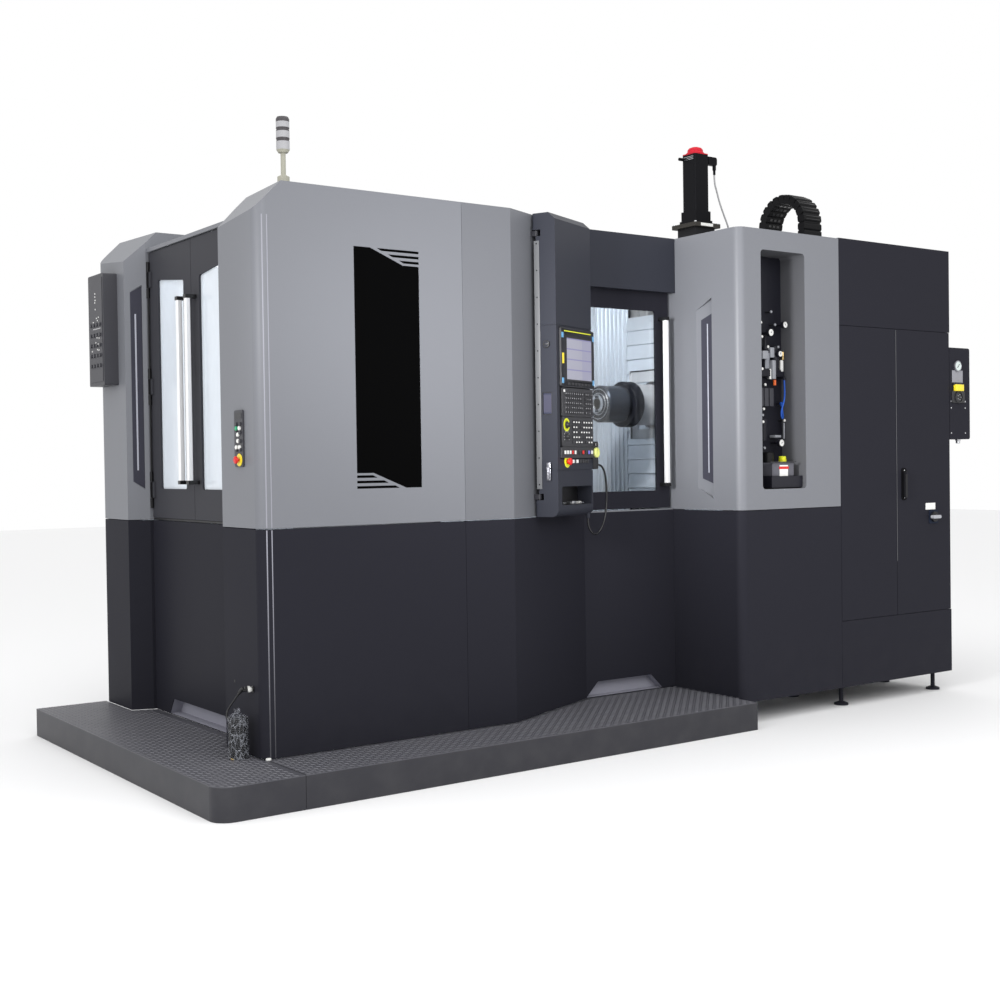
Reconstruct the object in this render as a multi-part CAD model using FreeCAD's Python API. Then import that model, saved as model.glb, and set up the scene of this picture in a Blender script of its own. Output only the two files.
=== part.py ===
"""Horizontal machining centre with a two-pallet loading station, in millimetres.

The machine frame that every function below uses has X along the operator's side, from the
loading station towards the electrical cabinet, Y from the operator's side into the machine and
Z up from the floor. X = 0 and Y = 0 are the two outer faces of the cover corner between the
loading station and the operator's side. At the end every piece is moved so that the origin is
on the floor under the middle of the whole machine.
"""
import FreeCAD, Part
import math
import os

V = FreeCAD.Vector

# ---------------------------------------------------------------- driving dimensions
TOP_Z = 2950.0            # roof of the covers
SPLIT_Z = 1270.0          # light covers above, dark ones below
STEP_Z = 160.0            # top of the walk-on steps
LIFT_Z = 127.0            # underside of the utility column and the cabinet
FAR_Y = 2186.0            # outer face of the far side
CENTRE_Y = FAR_Y / 2      # spindle, pallets and loading doors are centred on it
END_X = 4965.0            # outer face of the cabinet end
SKIN = 3.0                # sheet of the covers
JOINT = 2.0               # half of the gap between two covers

STEP_LEFT_X = -420.0
STEP_FRONT_Y = -405.0
STEP_RIGHT_X = 2938.0
STEP_JOINT_X = 14.0
STEP_SHEET = 5.0
STEP_ROUND = 90.0

CORNER_ROUND = 55.0
RETURN_Y = 430.0          # where the post face turns in towards the loading doors
RETURN_X = 116.0
RETURN_DY = 47.0
JAMB_X = 200.0            # the posts' inner flange beside the doors
CHAMFER_Z = 2811.0        # lower edge of the sloped roof corner at Y = 0
CHAMFER_FALL = 0.09       # that edge falls towards the loading doors
SEAM_X = 1185.0           # joint between the corner cover and the front cover
ANGLE_X = 1503.0          # where the front cover turns in towards the operator's door
ANGLE_DEG = 24.0
DOOR_WALL_Y = 338.0
UTILITY_X = 2980.0
UTILITY_Y = -251.0
UTILITY_ROUND = 50.0
CABINET_X = 3857.0
CABINET_DEPTH = 600.0
UTILITY_BACK_Y = 477.0

STATION_X = 133.0         # front face of the loading doors
STATION_ROOF_Z = 2830.0
DOOR_GAP = 2.0
LEAF = 30.0
LEAF_Z0 = 1284.0
LEAF_Z1 = 2822.0
LEAF_HINGE = 10.0         # the hinge line stands this far out of the leaf face

ANGLE = math.radians(ANGLE_DEG)
WALL_X = ANGLE_X + DOOR_WALL_Y / math.tan(ANGLE)   # end of the angled wall
STATION_Y0 = RETURN_Y + RETURN_DY                  # near jamb of the loading doors
STATION_Y1 = FAR_Y - STATION_Y0                    # far jamb

PANEL_X = 1703.0          # operator panel: where its left side meets the angled cover
PANEL_Y = (PANEL_X - ANGLE_X) * math.tan(ANGLE)
PANEL_W = 425.0
PANEL_D = 155.0
PANEL_Z0 = 1270.0
PANEL_GAP = 8.0
PIVOT_S = 20.0
PIVOT_D = 28.0
PIVOT_LEVELS = (1381.0, 2841.0)

SPINDLE_Z = 1960.0
SPINDLE_NOSE_X = 2990.0
WAY_X = 3507.0            # front of the slatted way cover
COLUMN_X0 = 3620.0
COLUMN_X1 = 4200.0
TABLE_X = 2350.0
CHANGER_X = 1170.0
PALLET_REACH = 600.0
PALLET = 500.0
PALLET_Z = 1000.0         # underside of a pallet
PALLET_T = 80.0
PARTITION = 840.0         # half of the turning partition, clear of the open door

ORIGIN_X = (STEP_LEFT_X + 5185.0) / 2
ORIGIN_Y = (STEP_FRONT_Y + FAR_Y) / 2


# ---------------------------------------------------------------- shape helpers
def corner_arc(corner, first, last):
    """Arc tangent to both legs of a corner, from first to last at equal distances from it."""
    back = first - corner
    ahead = last - corner
    half = back.getAngle(ahead) / 2
    radius = back.Length * math.tan(half)
    bisector = (back.normalize() + ahead.normalize()).normalize()
    middle = corner + bisector * (radius / math.sin(half) - radius)
    return Part.Arc(first, middle, last).toShape(), radius


def rounded_wire(points, radii):
    """Closed outline through (u, v) points, with an arc of its own radius at each corner."""
    corners = [V(u, v, 0) for u, v in points]
    count = len(corners)
    edges = []
    starts = []
    ends = []
    for i, corner in enumerate(corners):
        back = (corners[i - 1] - corner).normalize()
        ahead = (corners[(i + 1) % count] - corner).normalize()
        if radii[i] <= 0:
            starts.append(corner)
            ends.append(corner)
            continue
        run = radii[i] / math.tan(back.getAngle(ahead) / 2)
        starts.append(corner + back * run)
        ends.append(corner + ahead * run)
        edges.append(corner_arc(corner, starts[-1], ends[-1])[0])
    for i in range(count):
        begin = ends[i]
        finish = starts[(i + 1) % count]
        if begin.distanceToPoint(finish) > 1e-6:
            edges.append(Part.LineSegment(begin, finish).toShape())
    return Part.Wire(Part.__sortEdges__(edges))


def outline_face(points, radius=0.0):
    """Face of an outline; radius is one number or one for each corner."""
    radii = radius if isinstance(radius, (list, tuple)) else [radius] * len(points)
    return Part.Face(rounded_wire(points, radii))


def plan(points, z0, z1, radius=0.0):
    """Prism of an (x, y) outline from z0 up to z1."""
    solid = outline_face(points, radius).extrude(V(0, 0, z1 - z0))
    solid.translate(V(0, 0, z0))
    return solid


def front_plate(points, y0, y1, radius=0.0):
    """Prism of an (x, z) outline from y0 back to y1."""
    solid = outline_face(points, radius).extrude(V(0, 0, y0 - y1))
    solid.rotate(V(0, 0, 0), V(1, 0, 0), 90)
    solid.translate(V(0, y0, 0))
    return solid


def side_plate(points, x0, x1, radius=0.0):
    """Prism of a (y, z) outline from x0 to x1."""
    solid = outline_face(points, radius).extrude(V(0, 0, x1 - x0))
    solid.rotate(V(0, 0, 0), V(1, 1, 1), 120)
    solid.translate(V(x0, 0, 0))
    return solid


def box(x0, x1, y0, y1, z0, z1):
    return Part.makeBox(x1 - x0, y1 - y0, z1 - z0, V(x0, y0, z0))


def rectangle(u0, u1, v0, v1):
    return [(u0, v0), (u1, v0), (u1, v1), (u0, v1)]


def rod(start, end, radius):
    """Round bar between two points."""
    a = V(*start)
    b = V(*end)
    return Part.makeCylinder(radius, a.distanceToPoint(b), a, b - a)


def turned(profile, base, axis):
    """Solid of revolution: profile is (radius, height) pairs along the axis from base."""
    face = Part.Face(Part.makePolygon([V(r, 0, h) for r, h in profile + profile[:1]]))
    solid = face.revolve(V(0, 0, 0), V(0, 0, 1), 360)
    solid.Placement = FreeCAD.Placement(V(*base), FreeCAD.Rotation(V(0, 0, 1), V(*axis)))
    return solid


def fuse(shapes):
    first = shapes[0]
    return first if len(shapes) == 1 else first.fuse(shapes[1:]).removeSplitter()


def cut(shape, tools):
    return shape.cut(tools) if isinstance(tools, list) else shape.cut([tools])


def mirrored(shape):
    """The same piece on the other side of the machine's centre plane."""
    return shape.mirror(V(0, CENTRE_Y, 0), V(0, 1, 0))


def polyhedron(corners, faces):
    """Solid from named corner points and the lists of names round each face."""
    made = [Part.Face(Part.makePolygon([V(*corners[n]) for n in names + names[:1]])) for names in faces]
    return Part.Solid(Part.Shell(made))


def tube_along(points, radius, bend=0.45):
    """Hose solid: straight runs joined by tangent arcs as large as the runs allow."""
    path = [V(*p) for p in points]
    edges = []
    radii = []
    begin = path[0]
    for i in range(1, len(path) - 1):
        back = path[i - 1] - path[i]
        ahead = path[i + 1] - path[i]
        run = bend * min(back.Length, ahead.Length)
        first = path[i] + back.normalize() * run
        last = path[i] + ahead.normalize() * run
        arc, arc_radius = corner_arc(path[i], first, last)
        radii.append(arc_radius)
        edges += [Part.LineSegment(begin, first).toShape(), arc]
        begin = last
    edges.append(Part.LineSegment(begin, path[-1]).toShape())
    wire = Part.Wire(edges)
    ring = Part.Wire(Part.makeCircle(radius, path[0], path[1] - path[0]))
    solid = wire.makePipeShell([ring], True, False)
    expected = math.pi * radius * radius * wire.Length
    print("hose: length %.0f mm, volume ratio %.4f, radii %s"
          % (wire.Length, solid.Volume / expected, " ".join("%.0f" % r for r in radii)))
    return solid


# ---------------------------------------------------------------- walk-on steps
def folded_step(points, radius):
    """Tread plate with its skirts folded down: open underneath."""
    outer = plan(points, 0, STEP_Z, radius)
    face = outline_face(points, radius)
    inner = face.makeOffset2D(-STEP_SHEET).extrude(V(0, 0, STEP_Z - STEP_SHEET + 1))
    inner.translate(V(0, 0, -1))
    return outer.cut(inner)


def side_step():
    """Step in front of the loading doors; it wraps the cover corner."""
    back_x = STATION_X + SKIN
    points = [(STEP_LEFT_X, STEP_FRONT_Y), (STEP_JOINT_X - 1, STEP_FRONT_Y), (STEP_JOINT_X - 1, -1),
              (-1, -1), (-1, RETURN_Y), (back_x, STATION_Y0 + 8), (back_x, STATION_Y1 - 8),
              (-1, FAR_Y - RETURN_Y), (-1, FAR_Y), (STEP_LEFT_X, FAR_Y)]
    return folded_step(points, [STEP_ROUND] + [0] * 9)


def front_step():
    """Step along the operator's side; it fills the recess in front of the door."""
    x0 = STEP_JOINT_X + 1
    points = [(x0, STEP_FRONT_Y), (STEP_RIGHT_X, STEP_FRONT_Y), (STEP_RIGHT_X, DOOR_WALL_Y - 1),
              (WALL_X, DOOR_WALL_Y - 1), (ANGLE_X, -1), (x0, -1)]
    return folded_step(points, 0)


# ---------------------------------------------------------------- covers
def chamfer_wedge(drop=0.0):
    """What is cut off the roof corner over the loading end of the near post."""
    y0, y1, reach = -60.0, STATION_Y0 + 60.0, 500.0
    wires = []
    for y in (y0, y1):
        edge_z = CHAMFER_Z - CHAMFER_FALL * y - drop
        corners = [V(-60, y, edge_z - 60), V(reach, y, edge_z + reach), V(-60, y, edge_z + reach)]
        wires.append(Part.makePolygon(corners + corners[:1]))
    return Part.makeLoft(wires, True, True)


def post_outline(right_x, back_y):
    return [(RETURN_X, STATION_Y0), (0, RETURN_Y), (0, 0), (right_x, 0), (right_x, back_y)]


def hollow(points, radii, inner_points, z0, z1, roof=True):
    """Sheet cover: its outline less the same outline set in by the sheet."""
    outer = plan(points, z0, z1, radii)
    inner = outline_face(inner_points, radii).makeOffset2D(-SKIN)
    inner = inner.extrude(V(0, 0, z1 - z0 + (1 - SKIN if roof else 2)))
    inner.translate(V(0, 0, z0 - 1))
    return outer, inner


def post_shell(z0, z1, roof):
    """The sheet post between the loading doors and the operator's side."""
    points = post_outline(SEAM_X - 1, STATION_Y0)
    inner_points = post_outline(SEAM_X + 80, STATION_Y0)
    radii = [0, 0, CORNER_ROUND, 0, 0]
    outer, inner = hollow(points, radii, inner_points, z0, z1, roof)
    if roof:
        outer = outer.cut(chamfer_wedge())
        inner = inner.cut(chamfer_wedge(SKIN * math.sqrt(2)))
    shell = outer.cut(inner)
    clear_z = STATION_ROOF_Z if roof else z1 + 1
    return shell.cut(box(JAMB_X, SEAM_X + 1, STATION_Y0 - 10, STATION_Y0 + 1, z0 - 1, clear_z))


WINDOW_X0, WINDOW_X1 = 534.0, 917.0
WINDOW_Z0, WINDOW_Z1 = 1453.0, 2667.0
SLOT_H = 13.0
SLOT_PITCH = 27.0


def window_openings(y0, y1):
    """The viewing window: two opposite corners are cut off, each with three slots beside it."""
    mid_x = (WINDOW_X0 + WINDOW_X1) / 2
    mid_z = (WINDOW_Z0 + WINDOW_Z1) / 2
    corner = [(WINDOW_X0, WINDOW_Z1), (629, WINDOW_Z1), (821, WINDOW_Z1 - 78), (WINDOW_X1, WINDOW_Z1 - 78)]
    opposite = [(2 * mid_x - x, 2 * mid_z - z) for x, z in corner]
    shapes = [front_plate(corner + opposite, y0, y1)]
    for i in range(3):
        top = WINDOW_Z1 - i * SLOT_PITCH
        left = 668 + i * 65
        slot = front_plate([(left, top), (left + 26, top - SLOT_H), (WINDOW_X1, top - SLOT_H),
                            (WINDOW_X1, top)], y0, y1)
        turned_slot = slot.copy()
        turned_slot.rotate(V(mid_x, 0, mid_z), V(0, 1, 0), 180)
        shapes += [slot, turned_slot]
    return shapes


def gill(size, grow=0.0):
    """Wedge-shaped recess in the plane y = 0: flush on its left side, deepest on its right."""
    wide, tall, extra, depth = size
    corners = {
        "l0": (-grow, 0, -grow), "l1": (-grow, 0, tall + grow),
        "r0": (wide + grow, 0, -extra - grow), "r1": (wide + grow, 0, tall + extra + grow),
        "d0": (wide + grow, depth + grow, -extra - grow), "d1": (wide + grow, depth + grow, tall + extra + grow),
    }
    faces = [["l0", "r0", "r1", "l1"], ["l0", "l1", "d1", "d0"], ["r0", "d0", "d1", "r1"],
             ["l0", "d0", "r0"], ["l1", "r1", "d1"]]
    return polyhedron(corners, faces)


def gill_cut(size, place):
    """The recess itself and the sheet pocket behind it, put in place."""
    shapes = [gill(size), gill(size, SKIN).cut(gill(size))]
    for shape in shapes:
        shape.Placement = place.multiply(shape.Placement)
    return shapes


def return_gill():
    """Slot in the post's face that turns in towards the loading doors."""
    along = math.degrees(math.atan2(RETURN_DY, RETURN_X))
    unit = V(math.cos(math.radians(along)), math.sin(math.radians(along)), 0)
    start = V(0, RETURN_Y, 1492) + unit * 31
    place = FreeCAD.Placement(start, FreeCAD.Rotation(V(0, 0, 1), along + 180))
    cutter, pocket = gill_cut(RETURN_GILL, FreeCAD.Placement())
    shapes = []
    for shape in (cutter, pocket):
        flipped = shape.mirror(V(0, 0, 0), V(1, 0, 0))
        flipped.Placement = place.multiply(flipped.Placement)
        shapes.append(flipped)
    return shapes


def post_cover():
    """Light upper cover of a post with its slot and the hinge pins of its loading door."""
    shell = post_shell(SPLIT_Z + JOINT, TOP_Z, True)
    cutter, pocket = return_gill()
    return fuse([shell.cut(cutter), pocket, door_hinge_pins()])


def corner_cover():
    stop_hole = rod((-1, STATION_ESTOP_Y, STATION_ESTOP_Z), (SKIN + 1, STATION_ESTOP_Y, STATION_ESTOP_Z), 7.4)
    return cut(post_cover(), window_openings(-5, SKIN + 5) + [stop_hole])


def corner_base():
    return post_shell(STEP_Z + JOINT, SPLIT_Z - JOINT, False)


def side_window():
    """Dark safety glass behind the window and its slots."""
    return front_plate(rectangle(WINDOW_X0 - 30, WINDOW_X1 + 30, WINDOW_Z0 - 30, WINDOW_Z1 + 30),
                       SKIN, SKIN + 8, 12)


def front_outline(left_x, right_x, back_y):
    return [(left_x, 0), (ANGLE_X, 0), (WALL_X, DOOR_WALL_Y), (right_x, DOOR_WALL_Y),
            (right_x, back_y), (left_x, back_y)]


def front_cover():
    """Light cover from the seam to the operator's door, with the panel's hinge brackets."""
    z0 = SPLIT_Z + JOINT
    outer = plan([p for p in front_outline(SEAM_X + 1, WALL_X, STATION_Y0) if p[0] <= WALL_X][:3]
                 + [(WALL_X, STATION_Y0), (SEAM_X + 1, STATION_Y0)], z0, TOP_Z)
    face = outline_face(front_outline(SEAM_X - 80, WALL_X + 80, STATION_Y0 + 80))
    inner = face.makeOffset2D(-SKIN).extrude(V(0, 0, TOP_Z - SKIN - z0 + 1))
    inner.translate(V(0, 0, z0 - 1))
    return fuse([outer.cut(inner)] + [on_panel(bracket) for bracket in hinge_brackets()])


def front_base():
    """Dark lower skin: along the step, round the angle and under the operator's door."""
    z0, z1 = STEP_Z + JOINT, SPLIT_Z - JOINT
    outer = plan(front_outline(SEAM_X + 1, UTILITY_X - 1, DOOR_WALL_Y + 40), z0, z1)
    face = outline_face(front_outline(SEAM_X - 80, UTILITY_X + 80, DOOR_WALL_Y + 120))
    inner = face.makeOffset2D(-SKIN).extrude(V(0, 0, z1 - z0 + 2))
    inner.translate(V(0, 0, z0 - 1))
    shell = outer.cut(inner)
    return toe_recess(shell, 2256, 2873, 96, lambda pts, a, b: front_plate(pts, DOOR_WALL_Y + a, DOOR_WALL_Y + b))


def toe_recess(shell, low, high, inset, plate):
    """Cut a foot recess with sloped ends into a sheet wall and line it with a tray."""
    top = 254.0
    depth = 70.0
    z0 = STEP_Z + JOINT
    opening = [(low, z0 - 1), (high, z0 - 1), (high - inset, top), (low + inset, top)]
    lining = [(low - SKIN, z0), (high + SKIN, z0), (high - inset + SKIN, top + SKIN),
              (low + inset - SKIN, top + SKIN)]
    hollow_part = [(low, z0 + SKIN), (high, z0 + SKIN), (high - inset, top), (low + inset, top)]
    tray = plate(lining, 0.0, depth).cut(plate(hollow_part, -1.0, depth - SKIN))
    return fuse([shell.cut(plate(opening, -5.0, 5.0)), tray])


def far_side_cover():
    """Light covers of the far post, the far side and the cabinet end behind the cabinet."""
    return fuse([mirrored(post_cover()), far_wall(SPLIT_Z + JOINT, TOP_Z)])


def far_side_base():
    post = mirrored(post_shell(STEP_Z + JOINT, SPLIT_Z - JOINT, False))
    return fuse([post, far_wall(LIFT_Z, SPLIT_Z - JOINT)])


def far_wall(z0, z1):
    side = box(SEAM_X - 1, END_X, FAR_Y - SKIN, FAR_Y, z0, z1)
    end = box(END_X - SKIN, END_X, UTILITY_Y + CABINET_DEPTH + 1, FAR_Y, z0, z1)
    return fuse([side, end])


def station_sill():
    """Dark wall under the loading doors."""
    wall = box(STATION_X, STATION_X + SKIN, STATION_Y0, STATION_Y1, STEP_Z + JOINT, SPLIT_Z - JOINT)
    top = box(STATION_X, STATION_X + 60, STATION_Y0, STATION_Y1, SPLIT_Z - JOINT - SKIN, SPLIT_Z - JOINT)
    half = 415.0
    wall = toe_recess(wall, CENTRE_Y - half, CENTRE_Y + half, 65,
                      lambda pts, a, b: side_plate(pts, STATION_X + a, STATION_X + b))
    return fuse([wall, top])


def roof_panels():
    """Roof over the work area, the low roof over the loading station and its front lip."""
    z0 = TOP_Z - SKIN
    main = box(SEAM_X, CABINET_X, STATION_Y0 + 1, FAR_Y - SKIN - 1, z0, TOP_Z)
    back = box(CABINET_X, END_X - SKIN - 1, UTILITY_Y + CABINET_DEPTH + 1, FAR_Y - SKIN - 1, z0, TOP_Z)
    column_well = box(COLUMN_X0 + 40, COLUMN_X1 + 40, 560, FAR_Y - 560, z0 - 1, TOP_Z + 1)
    riser = box(SEAM_X, SEAM_X + SKIN, STATION_Y0 + 1, STATION_Y1 - 1, STATION_ROOF_Z - SKIN, TOP_Z)
    low = box(STATION_X - 8, SEAM_X + SKIN, STATION_Y0 + 1, STATION_Y1 - 1, STATION_ROOF_Z - SKIN, STATION_ROOF_Z)
    lip = box(STATION_X - 11, STATION_X - 8, STATION_Y0 + 1, STATION_Y1 - 1, STATION_ROOF_Z - SKIN, STATION_ROOF_Z + 18)
    chain_well = box(CHAIN_X - 110, CHAIN_X + 110, CHAIN_Y - 240, CHAIN_Y + 240, z0 - 1, TOP_Z + 1)
    return cut(fuse([main, back, riser, low, lip]), [column_well, chain_well])


def door_fascia():
    """Dark panel over the operator's door, folded back at its top and bottom."""
    x0, x1 = 2190.0, UTILITY_X - 2
    y0, z0 = 300.0, 2615.0
    front = box(x0, x1, y0, y0 + SKIN, z0, TOP_Z)
    lower = box(WALL_X + 4, x1, y0, y0 + 42, z0, z0 + SKIN)
    upper = box(WALL_X + 1, x1, y0, STATION_Y0, TOP_Z - SKIN, TOP_Z)
    hood = box(DOOR_RAIL_X0, x1, DOOR_Y0 - 6, DOOR_Y1 + 6, DOOR_TOP + 8, DOOR_TOP + 48)
    rail = hood.cut(box(ANGLE_X, x1 + 1, DOOR_Y0 - 3, DOOR_Y1 + 3, DOOR_TOP, DOOR_TOP + 45))
    hangers = [box(x, x + 40, y0, DOOR_Y0 - 3, DOOR_TOP + 30, DOOR_TOP + 48) for x in (2320, 2800)]
    return fuse([front, lower, upper, rail] + hangers)


BAY_X0, BAY_X1 = 3162.0, 3545.0
BAY_Z0, BAY_Z1 = 1393.0, 2828.0
BAY_DEPTH = 200.0
UTILITY_GILL = (134.0, 1076.0, 69.0, 28.0)    # width, height on the left, flare, depth
RETURN_GILL = (69.0, 1104.0, 42.0, 16.0)


def utility_outline(right_x, back_y):
    return [(UTILITY_X, UTILITY_Y), (right_x, UTILITY_Y), (right_x, back_y), (UTILITY_X, back_y)]


def utility_shell(z0, z1, roof):
    points = utility_outline(CABINET_X - 1, UTILITY_BACK_Y)
    inner_points = utility_outline(CABINET_X + 80, UTILITY_BACK_Y + 80)
    outer, inner = hollow(points, [UTILITY_ROUND, 0, 0, 0], inner_points, z0, z1, roof)
    return outer.cut(inner)


def utility_cover():
    """Light column beside the door, with the open air-service bay and the slotted side."""
    shell = utility_shell(SPLIT_Z + JOINT, TOP_Z, True)
    opening = rectangle(BAY_X0, BAY_X1, BAY_Z0, BAY_Z1)
    lining = rectangle(BAY_X0 - SKIN, BAY_X1 + SKIN, BAY_Z0 - SKIN, BAY_Z1 + SKIN)
    cavity = front_plate(opening, UTILITY_Y - 5, UTILITY_Y + BAY_DEPTH, 24)
    tray = front_plate(lining, UTILITY_Y, UTILITY_Y + BAY_DEPTH + SKIN, 24 + SKIN).cut(cavity)
    place = FreeCAD.Placement(V(UTILITY_X, 116, 1409), FreeCAD.Rotation(V(0, 0, 1), -90))
    slot, pocket = gill_cut(UTILITY_GILL, place)
    return fuse([cut(shell, [cavity, slot]), tray, pocket])


def utility_base():
    return utility_shell(LIFT_Z, SPLIT_Z - JOINT, False)


# ---------------------------------------------------------------- electrical cabinet
DOOR_Z0, DOOR_Z1 = 548.0, 2407.0
LEAF_JOIN_X = 4401.0
CABINET_LEAF = 24.0
LEAF_ROLL = 5.0           # radius of a leaf's hinge edge about its hinge line


def electrical_cabinet():
    """Cabinet body: closed above and below its doors, with the mounting plate inside."""
    y0, y1 = UTILITY_Y, UTILITY_Y + CABINET_DEPTH
    outer = box(CABINET_X + 1, END_X, y0, y1, LIFT_Z, TOP_Z + 5)
    inner = box(CABINET_X + 1 + SKIN, END_X - SKIN, y0 + SKIN, y1 - SKIN, LIFT_Z + SKIN, TOP_Z + 5 - SKIN)
    doorway = box(CABINET_X + 30, END_X - 30, y0 - 1, y0 + 60, DOOR_Z0 + 25, DOOR_Z1 - 25)
    rebate = box(CABINET_X + 4, END_X + 1, y0 - 1, y0 + CABINET_LEAF + 4, DOOR_Z0 - 3, DOOR_Z1 + 3)
    frame = box(CABINET_X + 4, END_X, y0 + CABINET_LEAF + 4, y0 + CABINET_LEAF + 8, DOOR_Z0 - 3, DOOR_Z1 + 3)
    shell = cut(outer.cut(inner), [rebate])
    frame = cut(frame, [doorway])
    post = box(CABINET_X + 1, CABINET_X + 4, y0, y0 + 40, LIFT_Z, TOP_Z)
    plate = box(CABINET_X + 60, END_X - 60, y1 - 80, y1 - SKIN, DOOR_Z0 + 60, DOOR_Z1 - 60)
    units = [box(CABINET_X + 110 + i * 150, CABINET_X + 230 + i * 150, y1 - 300, y1 - 80, 1750, 2150)
             for i in range(6)]
    rails = [box(CABINET_X + 110, END_X - 110, y1 - 170, y1 - 80, z, z + 110) for z in (1380, 1050)]
    sills = [box(CABINET_X + 4, END_X, y0, y0 + CABINET_LEAF + 8, z, z + SKIN)
             for z in (DOOR_Z0 - 3 - SKIN, DOOR_Z1 + 3)]
    feet = [turned([(0, 0), (45, 0), (45, 12), (14, 24), (14, LIFT_Z), (0, LIFT_Z)], (x, y, 0), (0, 0, 1))
            for x in (CABINET_X + 90, END_X - 90) for y in (y0 + 90, y1 - 90)]
    return fuse([shell, frame, post, plate] + units + rails + sills + feet)


def cabinet_leaf(x0, x1, hinge_x):
    """Cabinet door: a tray of sheet, with its hinge edge rolled about the hinge line."""
    y0 = UTILITY_Y
    outer = box(x0, x1, y0, y0 + CABINET_LEAF, DOOR_Z0, DOOR_Z1)
    corner = [e for e in outer.Edges
              if e.BoundBox.ZLength > 100 and abs(e.BoundBox.XMin - hinge_x) < 1 and e.BoundBox.YMax < y0 + 1]
    outer = outer.makeFillet(LEAF_ROLL, corner)
    inner = box(x0 + SKIN, x1 - SKIN, y0 + SKIN, y0 + CABINET_LEAF + 1, DOOR_Z0 + SKIN, DOOR_Z1 - SKIN)
    return outer.cut(inner)


HANDLE_X, HANDLE_Z0, HANDLE_Z1 = 4471.0, 1294.0, 1504.0
SWITCH_X, SWITCH_Z = 4775.0, 1176.0


def cabinet_door_left():
    return cabinet_leaf(CABINET_X + 6, LEAF_JOIN_X - 2, CABINET_X + 6)


def cabinet_door_right():
    leaf = cabinet_leaf(LEAF_JOIN_X + 2, END_X - 3, END_X - 3)
    bezel = front_plate(rectangle(HANDLE_X - 24, HANDLE_X + 24, HANDLE_Z0, HANDLE_Z1),
                        UTILITY_Y - 8, UTILITY_Y, 20)
    seat = front_plate(rectangle(HANDLE_X - 16, HANDLE_X + 16, HANDLE_Z0 + 10, HANDLE_Z1 - 10),
                       UTILITY_Y - 9, UTILITY_Y - 4, 12)
    plate = front_plate(rectangle(SWITCH_X - 45, SWITCH_X + 45, SWITCH_Z - 45, SWITCH_Z + 45),
                        UTILITY_Y - 6, UTILITY_Y, 8)
    label = front_plate(rectangle(4722, 4806, 1232, 1262), UTILITY_Y - 1, UTILITY_Y, 3)
    spindles = [rod((HANDLE_X, UTILITY_Y - 4, HANDLE_Z1 - 34), (HANDLE_X, UTILITY_Y - 30, HANDLE_Z1 - 34), 6),
                rod((SWITCH_X, UTILITY_Y - 6, SWITCH_Z), (SWITCH_X, UTILITY_Y - 22, SWITCH_Z), 8)]
    return fuse([leaf, bezel.cut(seat), plate, label] + spindles)


def cabinet_handle():
    """Swing lever that lies in its bezel and turns out to unlatch the door."""
    lever = front_plate(rectangle(HANDLE_X - 11, HANDLE_X + 11, HANDLE_Z0 + 16, HANDLE_Z1 - 22),
                        UTILITY_Y - 26, UTILITY_Y - 9.5, 10)
    hole = rod((HANDLE_X, UTILITY_Y, HANDLE_Z1 - 34), (HANDLE_X, UTILITY_Y - 40, HANDLE_Z1 - 34), 6.05)
    return lever.cut(hole)


def main_switch():
    """Rotary main switch: a round knob with a grip across it."""
    y0 = UTILITY_Y - 7
    knob = rod((SWITCH_X, y0, SWITCH_Z), (SWITCH_X, y0 - 14, SWITCH_Z), 34)
    grip = front_plate(rectangle(SWITCH_X - 52, SWITCH_X + 30, SWITCH_Z - 11, SWITCH_Z + 11), y0 - 38, y0 - 13, 9)
    hole = rod((SWITCH_X, UTILITY_Y, SWITCH_Z), (SWITCH_X, UTILITY_Y - 22.5, SWITCH_Z), 8.05)
    return fuse([knob, grip]).cut(hole)


def services_box():
    """Small dark box on the cabinet end: gauge, sockets and a cable gland."""
    x0, x1 = END_X, 5185.0
    y0, y1 = UTILITY_Y, UTILITY_Y + 130
    case = front_plate(rectangle(x0, x1, 1690, 2318), y0, y1, [3, 14, 14, 3])
    gauge = rod((5090, y0, 2200), (5090, y0 - 16, 2200), 34)
    sockets = [rod((5050 + i * 76, y0, 1985), (5050 + i * 76, y0 - 28, 1985), 26) for i in range(2)]
    gland = rod((5090, y0 + 60, 1690), (5090, y0 + 60, 1660), 18)
    return fuse([case, gauge, gland] + sockets)


# ---------------------------------------------------------------- doors
HANDLE_W, HANDLE_D = 30.0, 28.0


def bar_handle(u, v0, v1, face, out, place):
    """Upright aluminium bar on two black end brackets; place puts it on its door."""
    bar = box(u - HANDLE_W / 2, u + HANDLE_W / 2, face - out - HANDLE_D, face - out, v0, v1)
    bar = bar.makeFillet(6, [e for e in bar.Edges if abs(e.BoundBox.ZLength - (v1 - v0)) < 1])
    brackets = [box(u - HANDLE_W / 2 - 2, u + HANDLE_W / 2 + 2, face - out - HANDLE_D - 2, face, a, a + 20)
                for a in (v0 - 20, v1)]
    return place(fuse([bar] + brackets))


DOOR_X0, DOOR_X1 = 2215.0, 2962.0
DOOR_RAIL_X0 = 1700.0     # just past the roller of the fully open door
DOOR_Y0, DOOR_Y1 = 352.0, 388.0
DOOR_BOTTOM, DOOR_TOP = 1284.0, 2645.0
PANE_X0, PANE_X1 = 2280.0, 2857.0
PANE_Z0, PANE_Z1 = 1390.0, 2499.0


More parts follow.
